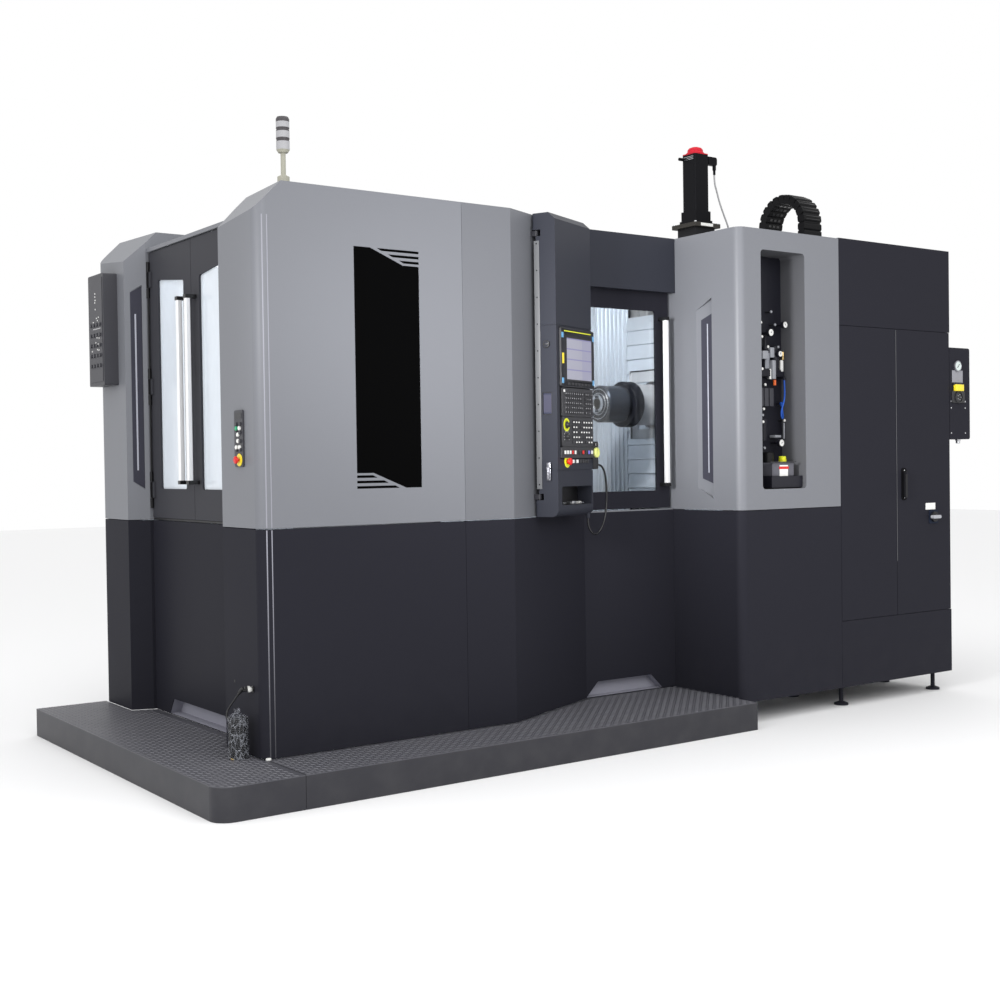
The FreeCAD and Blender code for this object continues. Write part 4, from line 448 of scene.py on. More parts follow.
# %% [markdown]
# ## Finishing the machine's own pieces
# A solid that already has the right shape stays, and only gets its finish. The table below reads
# like a paint shop's list: finish first, then the pieces that get it. Pieces that have several
# colours in one solid come after it.

# %% Paint list
PAINT_LIST = {
    light_paint: "roof_panels",
    dark_paint: "corner_base far_side_base utility_base electrical_cabinet operator_door cabinet_door_left",
    panel_paint: "panel_housing door_fascia",
    remote_paint: "remote_panel station_strip",
    stainless: "work_area_lining slat_cover way_cover",
    cast_paint: "machine_bed column table_saddle changer_arm",
    ground_steel: "work_pallet setup_pallet",
    nose_steel: "spindle",
    black_plastic: "feed_knob speed_knob pendant",
    black_paint: "cabinet_handle",
    carrier_paint: "cable_carrier",
    key_plastic: "panel_keys panel_screen",
    red_plastic: "panel_estop station_estop",
    dial_yellow: "pendant_dial",
    dark_glass: "side_window",
    clear_glass: "operator_door_window",
    milky_glass: "near_leaf_window far_leaf_window",
}


def finish_nodes(names, material):
    """Give carried-over solids their finish."""
    for name in names.split():
        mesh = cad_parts[name].data
        mesh.materials.clear()
        mesh.materials.append(material)


for finish, names in PAINT_LIST.items():
    finish_nodes(names, finish)
print("finished", sum(len(names.split()) for names in PAINT_LIST.values()), "of", len(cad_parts), "nodes")

# %% [markdown]
# ## Zones: one solid, several finishes
# A lamp's cap, a motor's fan cover or a gauge's rim is often one solid with its neighbour. A
# small group answers whether a point lies inside a box of the machine's drawing, so one material
# can change its colour there, and the change stays with the object from every side.

# %% Zone group
zone_group, given, group_out = new_group(
    "zone", [("Colour", COLOUR, MID_GREY), ("Inside", COLOUR, MID_GREY),
             ("Low", VECTOR, (0.0, 0.0, 0.0)), ("High", VECTOR, (1.0, 1.0, 1.0))],
    [("Colour", COLOUR), ("Mask", FLOAT)])
place = node(zone_group, "ShaderNodeTexCoord").outputs["Object"]
above = vector_maths(zone_group, "SUBTRACT", place, given["Low"])
below = vector_maths(zone_group, "SUBTRACT", given["High"], place)
nearer = vector_maths(zone_group, "MINIMUM", above, below)
least = node(zone_group, "ShaderNodeSeparateXYZ", {0: nearer}).outputs
least = maths(zone_group, "MINIMUM", maths(zone_group, "MINIMUM", least["X"], least["Y"]), least["Z"])
mask = maths(zone_group, "GREATER_THAN", least, 0.0)
zone_tint = blend(zone_group, mask, given["Colour"], given["Inside"])
give_out(zone_group, group_out, {"Colour": zone_tint, "Mask": mask})

# %% [markdown]
# **Placing a zone.** A zone is a box between two corners of the machine's drawing. A zoned finish
# takes any number of them, and each one paints over those before it.

# %% Zoned finishes
def box_of(x0, x1, y0, y1, z0, z1):
    """Two corners of a box of the machine's drawing, for a zone."""
    return at(x0, y0, z0), at(x1, y1, z1)


def zone_colour(tree, colour, inside, low, high):
    """A colour that changes to another inside a box; each may be a value or a socket."""
    return group_node(tree, zone_group, {"Colour": colour, "Inside": inside, "Low": tuple(low),
                                         "High": tuple(high)})["Colour"]


def zoned(name, colour, zones, roughness=0.4, fineness=700.0, shine=0.25):
    """Moulded or painted finish with differently coloured boxes: (colour, low, high)."""
    material, tree = new_material(name)
    colour = (*colour, 1)
    for inside, low, high in zones:
        colour = zone_colour(tree, colour, (*inside, 1), low, high)
    tint, height, matt = stipple(tree, colour, fineness, roughness)
    surface(tree, {"Base Color": tint, "Roughness": matt, "Specular IOR Level": shine}, height, 0.08, 0.0004)
    return material


print("zoned finishes can be mixed from", zone_group.name)

# %% [markdown]
# **Where one solid changes its colour.** The servo motor has a red brake cap, and the lamps of
# the signal tower stand between dark rings. The headstock is light, but its front ring is dark.
# The boxes are a little larger than what they colour, so nothing at their edge is left out.

# %% Motor, signal tower and headstock
RED_CAP, FLANGE_GREY_AND_HIGHLIGHT, HOUSING_BLACK = (0.50, 0.02, 0.035), (0.045, 0.042, 0.038), (0.020, 0.020, 0.022)
TOWER_IVORY, TOWER_DARK, TOWER_CLEAR = (0.34, 0.335, 0.28), (0.075, 0.07, 0.075), (0.36, 0.36, 0.375)
# The flange's grey-brown is its grey paint with a painted highlight of its top faces.
finish_nodes("axis_motor", zoned("motor_finish", (0.0065, 0.0065, 0.008), [
    (RED_CAP, *box_of(3840, 4000, 1010, 1180, 3728, 3790)),
    (FLANGE_GREY_AND_HIGHLIGHT, *box_of(3790, 4050, 960, 1220, 3207, 3238)),
    (HOUSING_BLACK, *box_of(3790, 4050, 960, 1220, 2840, 3207))], roughness=0.38, shine=0.06))
lamp_zones = [(TOWER_CLEAR, *box_of(160, 250, 60, 140, 3122, 3272))]
lamp_zones += [(TOWER_DARK, *box_of(160, 250, 60, 140, low, high))
               for low, high in ((3162, 3180), (3212, 3230), (3258, 3290))]
finish_nodes("signal_tower", zoned("tower_finish", TOWER_IVORY, lamp_zones, roughness=0.3, shine=0.1))
finish_nodes("spindle_head", zoned("head_finish", (0.42, 0.43, 0.45), [
    ((0.010, 0.011, 0.015), *box_of(3190, 3278, 900, 1300, 1700, 2250))], roughness=0.35, shine=0.06))
print("lamps of the tower:", len(lamp_zones) - 1)

# %% [markdown]
# **Covers and doors.** The toe recesses are lined in light grey. The arms of the panel's hinge
# are dark although they are fixed to a light cover, and so are the hinges of the loading doors.
# The inside of the utility column's open bay is coloured darker than its outside, as painted shade in the
# recess.

# %% Covers, sills and door leaves
RECESS_GREY, RUBBER_BLACK, ARM_BLACK = (0.30, 0.30, 0.35), (0.006, 0.006, 0.007), (0.02, 0.02, 0.025)
BAY_SHADE_GREY, LEAF_GREY, FRONT_COVER_SHADE_GREY = (0.108, 0.110, 0.120), (0.044, 0.0445, 0.052), (0.143, 0.148, 0.164)
finish_nodes("station_sill", zoned("sill_finish", DARK_GREY, [
    (RECESS_GREY, *box_of(137, 210, 670, 1520, 160, 258))], shine=0.03))
finish_nodes("front_base", zoned("front_base_finish", DARK_GREY, [
    (RECESS_GREY, *box_of(2240, 2890, 342, 415, 160, 258))], shine=0.03))
# The front cover gets a darker grey than the other light covers: painted shade.
finish_nodes("front_cover", zoned("front_cover_finish", FRONT_COVER_SHADE_GREY, [
    (ARM_BLACK, *box_of(1705.5, 1768, 48, 91.5, z - 40, z + 40)) for z in (1381, 2841)], fineness=420.0))
finish_nodes("corner_cover far_side_cover", zoned("post_finish", LIGHT_GREY, [
    (RUBBER_BLACK, *box_of(112, 135, low, high, 1330, 2780))
    for low, high in ((478.2, 504), (1682, 1707.8))], fineness=420.0))
finish_nodes("near_leaf far_leaf", zoned("leaf_finish", LEAF_GREY, [
    (RUBBER_BLACK, *box_of(112, 132.8, low, high, 1390, 2730))
    for low, high in ((480, 500.5), (1685.5, 1706))], fineness=420.0, shine=0.05))
# The bay's darker grey is painted shade inside the recess.
finish_nodes("utility_cover", zoned("utility_cover_finish", LIGHT_GREY, [
    (BAY_SHADE_GREY, *box_of(3150, 3557, -247.5, -50, 1380, 2840))], fineness=420.0))
print("covers and doors finished")

# %% [markdown]
# **Valve, switch and air board.** The wash valve has a white grip, the main switch a grey plate
# and the cabinet door a black lever seat. On the air board, grey devices, a blue hose and a
# yellow cap stand before a black plate.

# %% Valve, switch, cabinet door and air board
DEVICE_GREY, DEVICE_DARK, TANK_GREY = (0.24, 0.25, 0.28), (0.05, 0.05, 0.06), (0.11, 0.11, 0.13)
HOSE_BLUE, CAP_YELLOW = (0.02, 0.095, 0.46), (0.72, 0.70, 0.02)
finish_nodes("wash_valve", zoned("valve_finish", (0.008, 0.008, 0.009), [
    ((0.62, 0.62, 0.60), *box_of(-30, -8, 90, 170, 440, 520))], roughness=0.3, shine=0.4))
finish_nodes("main_switch", zoned("switch_finish", (0.010, 0.010, 0.012), [
    ((0.36, 0.37, 0.40), *box_of(4700, 4830, -300, -272, 1160, 1192))], shine=0.3))
finish_nodes("cabinet_door_right", zoned("cabinet_leaf_finish", DARK_GREY, [
    (RUBBER_BLACK, *box_of(4446, 4496, -262, -251.3, 1290, 1508)),
    ((0.016, 0.021, 0.036), *box_of(4728, 4822, -258, -251.3, 1129, 1223))], shine=0.03))
finish_nodes("pneumatic_unit", zoned("air_finish", (0.012, 0.012, 0.018), [
    (DEVICE_GREY, *box_of(3256, 3300, -120, -56, 2150, 2262)),
    (DEVICE_GREY, *box_of(3352, 3392, -120, -56, 2132, 2225)),
    (DEVICE_DARK, *box_of(3240, 3410, -120, -56, 1898, 2012)),
    (HOSE_BLUE, *box_of(3415, 3520, -170, -86, 1815, 2063)),
    (HOSE_BLUE, *box_of(3460, 3520, -170, -100, 1930, 2063)),
    (TANK_GREY, *box_of(3290, 3482, -206, -66, 1472, 1554)),
    (CAP_YELLOW, *box_of(3412, 3468, -180, -120, 1552.5, 1582)),
    (RUBBER_BLACK, *box_of(3300, 3380, -170, -90, 1552.5, 1622))]))
print("valve, switch, cabinet door and air board finished")

# %% [markdown]
# **Door handles.** Each is an aluminium bar between black brackets, in one solid. The zone turns
# round here: the inside of the box is the bar, and the brackets are what is left outside.

# %% Door handles
def capped_bar(name, low, high):
    """Aluminium bar between two heights, with black end brackets above and below it."""
    material, tree = new_material(name)
    lines = group_node(tree, brushing, {"Colour": (0.86, 0.86, 0.87, 1), "Contrast": 0.05})
    tint = zone_colour(tree, (0.01, 0.01, 0.011, 1), lines["Colour"], at(-900, -900, low), at(9000, 9000, high))
    surface(tree, {"Base Color": tint, "Metallic": 0.25, "Roughness": lines["Roughness"]},
            lines["Height"], 0.05, 0.0004)
    return material


finish_nodes("operator_door_handle", capped_bar("door_bar", 1437, 2441))
finish_nodes("near_leaf_handle far_leaf_handle", capped_bar("leaf_bar", 1501, 2489))
print("handles finished")

# %% [markdown]
# ** Steps.** Painted tread plate, coloured much darker on its skirts than on its top as painted shade. The lozenges that stand up from it get a paler paint, partly for the wear where they are rubbed most and partly as a painted highlight on their crests.

# %% Step paint
SKIRT_TOP = 156.0


def step_plate():
    """Painted tread plate, with a zone of painted shade on its skirts."""
    material, tree = new_material("step_plate")
    grain = group_node(tree, paint_grain, {"Colour": (0.074, 0.074, 0.086, 1), "Fineness": 160.0, "Drift": 0.2})
    # The skirts' zone: its much darker colour is painted shade.
    skirts = box_of(-900, 4000, -900, 3000, -10, SKIRT_TOP)
    tint = zone_colour(tree, grain["Colour"], (0.026, 0.026, 0.032, 1), *skirts)
    dirt = group_node(tree, shop_dust, {"Colour": tint, "Amount": 0.04})
    surface(tree, {"Base Color": dirt["Colour"], "Roughness": grain["Roughness"], "Specular IOR Level": 0.3},
            grain["Height"], 0.12, 0.0006)
    return material


finish_nodes("side_step front_step", step_plate())
# Paler paint for the lozenges: partly wear, partly a painted highlight.
wear_and_highlight_paint = painted("wear_and_highlight_paint", (0.135, 0.135, 0.152), dust=0.04, shine=0.45)
print("step paints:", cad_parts["side_step"].data.materials[0].name, wear_and_highlight_paint.name)

# %% [markdown]
# ## Building small pieces
# The details are built in mesh code. One mesh collects all the parts of a piece, each part with
# its own finish, and three kinds of part are enough for most of a machine: a block with broken
# edges, a turned part, and a plate drawn by its outline. The control panel's parts are given in
# its own drawing, so each kind can take the function that sets its points in place.

# %% Pieces and blocks
def start_piece():
    """An empty mesh under construction."""
    return bmesh.new()


def keep_part(bm, part, slot, spot):
    """Move a finished part to its place, give it its finish and add it to the piece."""
    for vertex in part.verts:
        vertex.co = spot(*vertex.co)
    for face in part.faces:
        face.material_index = slot
    scrap = bpy.data.meshes.new("scrap")
    bmesh.ops.recalc_face_normals(part, faces=part.faces)
    part.to_mesh(scrap)
    part.free()
    bm.from_mesh(scrap)
    bpy.data.meshes.remove(scrap)


def block(bm, low, high, slot=0, broken=1.0, steps=2, spot=at):
    """A block between two corners in millimetres, with its edges broken by a bevel."""
    part = bmesh.new()
    bmesh.ops.create_cube(part, size=1.0)
    size = [b - a for a, b in zip(low, high)]
    for vertex in part.verts:
        vertex.co = Vector([a + (c + 0.5) * s for a, c, s in zip(low, vertex.co, size)])
    width = min(broken, 0.45 * min(size))
    bmesh.ops.bevel(part, geom=part.edges[:], offset=width, segments=steps, profile=0.5, affect="EDGES")
    keep_part(bm, part, slot, spot)


def panel_block(bm, low, high, slot=0, broken=0.6, steps=1):
    """A block of the control panel, in the panel's own drawing."""
    block(bm, low, high, slot, broken, steps, on_panel)


print("blocks ready")

# %% [markdown]
# **Turned parts.** Screws, knobs, caps, rings and rods are all the same thing: a profile turned
# round an axis. A point of the profile on the axis closes the part, and without one it is a ring.

# %% Turned parts
TO_FRONT, TO_LEFT, UPWARD, DOWNWARD = (0, -1, 0), (-1, 0, 0), (0, 0, 1), (0, 0, -1)


def turned(bm, profile, base, axis, slot=0, sides=32, spot=at):
    """A turned part: (radius, distance) pairs along an axis from base, in millimetres."""
    part = bmesh.new()
    axis = Vector(axis).normalized()
    side = axis.orthogonal().normalized()
    other = axis.cross(side)
    angles = [2 * math.pi * i / sides for i in range(sides)]
    spokes = [side * math.cos(a) + other * math.sin(a) for a in angles]
    rings = []
    for radius, distance in profile:
        centre = Vector(base) + axis * distance
        if radius == 0:
            rings.append([part.verts.new(centre)])
        else:
            rings.append([part.verts.new(centre + spoke * radius) for spoke in spokes])
    for ring, following in zip(rings, rings[1:]):
        for i in range(sides):
            j = (i + 1) % sides
            corners = [ring[i % len(ring)], ring[j % len(ring)],
                       following[j % len(following)], following[i % len(following)]]
            distinct = list(dict.fromkeys(corners))
            if len(distinct) > 2:
                part.faces.new(distinct)
    for ring in (rings[0], rings[-1]):
        if len(ring) > 1:
            part.faces.new(ring)
    keep_part(bm, part, slot, spot)


def panel_turned(bm, profile, base, axis, slot=0, sides=32):
    """A turned part of the control panel, in the panel's own drawing."""
    turned(bm, profile, base, axis, slot, sides, on_panel)


print("turned parts ready")

# %% [markdown]
# **Profiles that come again.** A plain rod, a round cap and a bar between two points are used all
# over the machine. Screws and marks stand evenly on a circle, so their places are worked out too.

# %% Rods, caps, bars and circles
def rod(radius, height):
    """Profile of a plain cylinder."""
    return [(0, 0), (radius, 0), (radius, height), (0, height)]


def cap(radius, height, drop=0.8):
    """Profile of a round cap, with its end edge broken 1 mm wide and drop deep."""
    return [(0, 0), (radius, 0), (radius, height - drop), (radius - 1, height), (0, height)]


def on_circle(count, radius, u, v, first=0.0):
    """Points spread evenly on a circle round (u, v); first turns them by a share of a step."""
    angles = [2 * math.pi * (k + first) / count for k in range(count)]
    return [(u + radius * math.cos(a), v + radius * math.sin(a)) for a in angles]


def bar(bm, start, end, radius, slot=0, sides=16, spot=at):
    """A round bar with broken ends between two points."""
    start, end = Vector(start), Vector(end)
    length = (end - start).length
    edge = min(0.8, radius * 0.2)
    profile = [(0, 0), (radius - edge, 0), (radius, edge),
               (radius, length - edge), (radius - edge, length), (0, length)]
    turned(bm, profile, start, end - start, slot, sides, spot)


print("places of three screws on a circle:", [[round(v, 1) for v in place] for place in on_circle(3, 10, 0, 0)])

# %% [markdown]
# **Plates.** A plate is drawn by the outline of its face, given a thickness, and has the edges
# of both faces broken. Round corners are drawn with a few short sides each.

# %% Plates
CORNER_STEPS = 4


def plate(bm, outline, low, high, slot=0, broken=0.8, spot=at, order=(0, 2, 1)):
    """A plate drawn by its outline (u, v), between low and high across it.

    order says which of x, y and z gets u, v and the thickness.
    """
    part = bmesh.new()
    corners = []
    for u, v in outline:
        point = [0.0, 0.0, 0.0]
        point[order[0]], point[order[1]], point[order[2]] = u, v, low
        corners.append(part.verts.new(point))
    face = part.faces.new(corners)
    made = bmesh.ops.extrude_face_region(part, geom=[face])
    shift = Vector((0, 0, 0))
    shift[order[2]] = high - low
    raised = [v for v in made["geom"] if isinstance(v, bmesh.types.BMVert)]
    bmesh.ops.translate(part, vec=shift, verts=raised)
    bmesh.ops.recalc_face_normals(part, faces=part.faces)
    rim = [e for e in part.edges if abs(e.verts[0].co[order[2]] - e.verts[1].co[order[2]]) < 1e-6]
    bmesh.ops.bevel(part, geom=rim, offset=broken, segments=1, affect="EDGES")
    keep_part(bm, part, slot, spot)


def rounded(u0, u1, v0, v1, radius):
    """Outline of a rectangle with round corners."""
    points = []
    for cu, cv, first in ((u1 - radius, v1 - radius, 0), (u0 + radius, v1 - radius, 90),
                          (u0 + radius, v0 + radius, 180), (u1 - radius, v0 + radius, 270)):
        for i in range(CORNER_STEPS + 1):
            angle = math.radians(first + 90 * i / CORNER_STEPS)
            points.append((cu + radius * math.cos(angle), cv + radius * math.sin(angle)))
    return points


print("a rounded outline has", len(rounded(0, 20, 0, 10, 2)), "points")

# %% [markdown]
# **One object of many parts.** The last step makes an object of what was collected. It gets its
# finishes, smooth shading with edges kept sharp, and the body that it rides on when the machine
# moves.

# %% Finished pieces
SHARP_DEGREES = 35.0


def finish_piece(bm, name, finishes, body):
    """Turn the collected mesh into an object that rides on a body."""
    mesh = bpy.data.meshes.new(name)
    bm.to_mesh(mesh)
    bm.free()
    for finish in finishes:
        mesh.materials.append(finish)
    piece = new_object(name, mesh)
    mesh.shade_smooth()
    mesh.set_sharp_from_angle(angle=math.radians(SHARP_DEGREES))
    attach(piece, body)
    print(name, "has", len(mesh.polygons), "faces and rides on", body)
    return piece


print("edges sharper than", SHARP_DEGREES, "degrees stay sharp")

# %% [markdown]
# ## Hoses and cables
# A hose is a fixed length of something that bends smoothly. Each one here is a single spline whose control
# points are listed: out of its fitting, down under its own weight, and into the next fitting. A round bevel
# gives it its diameter.

# %% Hose helpers
LENGTH_STEPS = 12


def hose(name, points, diameter, finish):
    """A smooth round hose through given control points."""
    curve = bpy.data.curves.new(name, "CURVE")
    curve.dimensions = "3D"
    spline = curve.splines.new("NURBS")
    spline.points.add(len(points) - 1)
    for control, point in zip(spline.points, points):
        control.co = (*point, 1.0)
    spline.order_u = 3
    spline.use_endpoint_u = True
    spline.resolution_u = 8
    curve.bevel_depth = diameter / 2
    curve.bevel_resolution = 5
    curve.use_fill_caps = True
    curve.materials.append(finish)
    piece = new_object(name, curve)
    return piece


def spline_length(points):
    """Length of the quadratic spline through control points, joined at the middles of its runs."""
    total = 0.0
    last = points[0]
    for i in range(1, len(points) - 1):
        begin = points[0] if i == 1 else (points[i - 1] + points[i]) / 2
        end = points[-1] if i == len(points) - 2 else (points[i] + points[i + 1]) / 2
        for k in range(1, LENGTH_STEPS + 1):
            t = k / LENGTH_STEPS
            spot = (1 - t) ** 2 * begin + 2 * t * (1 - t) * points[i] + t ** 2 * end
            total += (spot - last).length
            last = spot
    return total


print("hose helpers ready")

# %% [markdown]
# **The nozzle.** The hose ends in a short brass nozzle that lies on the step beside the coil.

# %% Wash nozzle
NOZZLE_PROFILE = [
    (0, 0), (4.2, 0), (4.6, 0.6), (4.6, 2), (4.1, 2.4), (4.6, 2.8), (4.6, 9), (3.2, 12), (3.0, 21.4),
    (2.4, 22), (0, 22)]
bm = start_piece()
turned(bm, NOZZLE_PROFILE, (-116, 117, 164.7), TO_FRONT, sides=24)
wash_nozzle = finish_piece(bm, "wash_nozzle", [brass], "machine")

# %% [markdown]
# **The wash hose.** It leaves a ball valve on the corner post, bends round at the side of its
# store and winds down in a neat coil on the step, where its nozzle lies. Lead and coil are one
# hose, so they are one spline: the coil's points sit a little outside its true radius, because
# the spline runs inside them.

# %% Wash hose
COIL_X, COIL_Y, COIL_RADIUS = -74.0, 125.0, 42.0
COIL_TURNS, COIL_PITCH, COIL_TOP = 22, 8.8, 358.2
POINTS_PER_TURN = 16
WASH_LEAD_POINTS = [
    (-69.2, 131.6, 467.7), (-100, 182, 396), (-110, 178, 374), (-116, 159, 358.2), (-116, 141, 358.2)]
wash_points = [at(*p) for p in WASH_LEAD_POINTS]
reach = COIL_RADIUS / math.cos(math.pi / POINTS_PER_TURN) ** 2
for i in range(1, COIL_TURNS * POINTS_PER_TURN):
    angle = math.pi + 2 * math.pi * i / POINTS_PER_TURN
    wash_points.append(at(COIL_X + reach * math.cos(angle), COIL_Y + reach * math.sin(angle),
                          COIL_TOP - COIL_PITCH * i / POINTS_PER_TURN))
wash_points += [at(-116, 125, 164.6), at(-116, 117, 164.6)]
wash_hose = hose("wash_hose", wash_points, 0.008, hose_rubber)
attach(wash_hose, "machine")
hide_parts("wash_lead", "wash_coil")

# %% [markdown]
# **The pendant's cable.** It hangs in one loop from the handwheel box to a gland under the panel,
# and swings with the panel.

# %% Pendant cable
PENDANT_POINTS = [
    (518, -135, 1556), (556, -135, 1556), (589, -139, 1537), (608, -142, 1504), (613, -146, 1458),
    (615, -148, 1396), (614, -148, 1332), (602, -147, 1268), (576, -145, 1210), (532, -142, 1164),
    (476, -138, 1147), (426, -134, 1172), (405, -130, 1214), (405, -130, 1248)]
pendant_points = [on_panel(*p) for p in PENDANT_POINTS]
pendant_lead = hose("pendant_lead", pendant_points, 0.012, pendant_rubber)
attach(pendant_lead, "operator_panel")
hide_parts("pendant_cable")
print("pendant cable:", round(spline_length(pendant_points), 3), "m")

# %% [markdown]
# **The motor's cable.** Grey, from the connector near the motor's top down into the roof opening,
# where it travels with the column.

# %% Motor cable
MOTOR_POINTS = [
    (4055, 1043, 3598), (4055, 1043, 3540), (4076, 1043, 3488), (4102, 1043, 3410), (4140, 1043, 3332),
    (4180, 1043, 3258), (4206, 1040, 3182), (4202, 1030, 3114), (4180, 1015, 3062), (4180, 1015, 3000)]
motor_points = [at(*p) for p in MOTOR_POINTS]
motor_lead = hose("motor_lead", motor_points, 0.012, cable_sheath)
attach(motor_lead, "travelling_column")
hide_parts("motor_cable")
print("motor cable:", round(spline_length(motor_points), 3), "m")

# %% [markdown]
# ## Tread plate
# The steps are folded from tread plate: raised lozenges in a basket pattern, each a shallow drop
# with pointed ends. They are real relief here, because a walkway seen from a low angle shows
# them as bumps against the light. One lozenge is drawn, and copies fill the free part of each
# step, turned a quarter from one cell to the next.

# %% One lozenge and the steps' outlines
LOZENGE = [(-13, 0), (-7, -3.2), (7, -3.2), (13, 0), (7, 3.2), (-7, 3.2)]
LOZENGE_TOP = [(-8, 0), (8, 0)]
LOZENGE_FACES = ((0, 1, 6), (1, 2, 7, 6), (2, 3, 7), (3, 4, 7), (4, 5, 6, 7), (5, 0, 6))
LOZENGE_FOOT, LOZENGE_CREST = 159.95, 162.0
LOZENGE_REACH, LOZENGE_PITCH = 14, 27.0
SIDE_STEP = [
    (-420, -360), (-375, -405), (8, -405), (8, -16), (-16, -16), (-16, 432), (112, 484), (112, 1702),
    (-16, 1754), (-16, 2186), (-420, 2186)]
FRONT_STEP = [
    (20, -405), (2938, -405), (2938, -262), (2970, -262), (2970, 322), (2244, 322), (1500, -16), (20, -16)]


def inside(point, outline):
    """Whether a plan point lies inside a closed outline."""
    x, y = point
    hit = False
    for (x0, y0), (x1, y1) in zip(outline, outline[1:] + outline[:1]):
        if (y0 > y) != (y1 > y) and x < (x1 - x0) * (y - y0) / (y1 - y0) + x0:
            hit = not hit
    return hit


print("side step is free at its middle:", inside((-200, 900), SIDE_STEP))

# %% [markdown]
# **Rows of lozenges.** A cell gets its lozenge only where all four ends lie on the step, so no
# lozenge is cut by an edge. Real plate is cut through its pattern, but at this size a clean edge
# reads better.

# %% Rows of lozenges
def tread(name, outline, body="machine"):
    """Rows of lozenges on the top of a step, clear of its edges by half a lozenge."""
    vertices, faces = [], []
    low_x, high_x = min(p[0] for p in outline), max(p[0] for p in outline)
    low_y, high_y = min(p[1] for p in outline), max(p[1] for p in outline)
    for i in range(int((high_x - low_x) / LOZENGE_PITCH) + 1):
        for j in range(int((high_y - low_y) / LOZENGE_PITCH) + 1):
            cx, cy = low_x + (i + 0.5) * LOZENGE_PITCH, low_y + (j + 0.5) * LOZENGE_PITCH
            turn = math.radians(45 if (i + j) % 2 else -45)
            c, s = math.cos(turn), math.sin(turn)
            if not all(inside((cx + LOZENGE_REACH * a, cy + LOZENGE_REACH * b), outline)
                       for a, b in ((c, s), (-c, -s), (-s, c), (s, -c))):
                continue
            first = len(vertices)
            for points, height in ((LOZENGE, LOZENGE_FOOT), (LOZENGE_TOP, LOZENGE_CREST)):
                vertices += [at(cx + u * c - v * s, cy + u * s + v * c, height) for u, v in points]
            faces += [tuple(first + k for k in face) for face in LOZENGE_FACES]
    mesh = bpy.data.meshes.new(name)
    mesh.from_pydata(vertices, [], faces)
    mesh.materials.append(wear_and_highlight_paint)
    piece = new_object(name, mesh)
    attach(piece, body)
    print(name, "has", len(faces) // len(LOZENGE_FACES), "lozenges")


tread("side_tread", SIDE_STEP)
tread("front_tread", FRONT_STEP)

# %% [markdown]
# **Crinkled film.** New machines come with the wash hose's coil still wrapped in clear film. It
# is a thin bag: a sleeve a little larger than the coil, gathered at its top and crumpled by a
# noise, with a shiny surface that is mostly transparent.

# %% Film finish
def film_material():
    """Clear crinkled film: it shows mainly as bright creases."""
    material, tree = new_material("clear_film")
    place = node(tree, "ShaderNodeTexCoord").outputs["Object"]
    drawn_out = vector_maths(tree, "MULTIPLY", place, (1.0, 1.0, 0.45))
    cells = node(tree, "ShaderNodeTexVoronoi", {"Vector": drawn_out, "Scale": 42.0}, feature="DISTANCE_TO_EDGE")
    fold = ranged(tree, cells.outputs["Distance"], 1.0, 0.0, 0.0, 0.12)
    height = maths(tree, "ADD", fold, noise(tree, 60.0, 5.0, place))
    cover = ranged(tree, height, 0.04, 0.4, 0.6, 1.5)
    surface(tree, {"Base Color": (0.46, 0.48, 0.54, 1), "Roughness": 0.12, "Alpha": cover}, height, 0.9, 0.004)
    return material


clear_film = film_material()
print("film finish has", len(clear_film.node_tree.nodes), "nodes")

# %% [markdown]
# **The bag.** It is drawn ring by ring from the step upwards, and gathered above the coil. Three
# waves of different fineness fold each ring, so the sleeve doesn't look like a tube. Where it
# touches the corner post it is pressed flat.

# %% Film round the coil
FILM_RINGS = [
    (161.5, 50, 0), (166, 51, 0), (200, 50, 0), (250, 49.5, 1), (300, 50, 1), (340, 51, 1), (360, 50, 2),
    (370, 40, 3), (378, 22, 4), (390, 10, 3), (402, 15, 5)]
FILM_FOLDS = ((1.6, 9, 1.7), (1.2, 17, -2.3), (0.8, 5, 1))
FILM_SIDES = 72
POST_FACE = -6


def film_bag():
    """Sleeve of film round the coil, gathered at the top.

    Its rings are (height, radius, lean), and its folds are (depth, how many, drift per ring).
    """
    mesh = bpy.data.meshes.new("hose_film")
    vertices, faces = [], []
    for k, (z, radius, lean) in enumerate(FILM_RINGS):
        for i in range(FILM_SIDES):
            a = 2 * math.pi * i / FILM_SIDES
            fold = sum(deep * math.sin(a * count + k * drift) for deep, count, drift in FILM_FOLDS)
            r = radius + fold * (0.6 if radius > 30 else 0.9)
            x, y = COIL_X - lean + r * math.cos(a), COIL_Y + lean + r * math.sin(a)
            vertices.append(at(min(x, POST_FACE), y, z))
    for k in range(len(FILM_RINGS) - 1):
        for i in range(FILM_SIDES):
            j = (i + 1) % FILM_SIDES
            low, high = k * FILM_SIDES, (k + 1) * FILM_SIDES
            faces.append((low + i, low + j, high + j, high + i))
    mesh.from_pydata(vertices, [], faces)
    mesh.materials.append(clear_film)
    mesh.shade_smooth()
    film = new_object("hose_film", mesh)
    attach(film, "machine")
    return film


hose_film = film_bag()
print("film has", len(hose_film.data.polygons), "faces")

# %% [markdown]
# ## The control panel's front
# The panel is a swivelling column. Its screen, keyboard and machine keys are separate units with
# their own bezels, so each is built as a piece: the keyboard's caps are real blocks with broken
# edges, because their shadows make the keys read as keys.

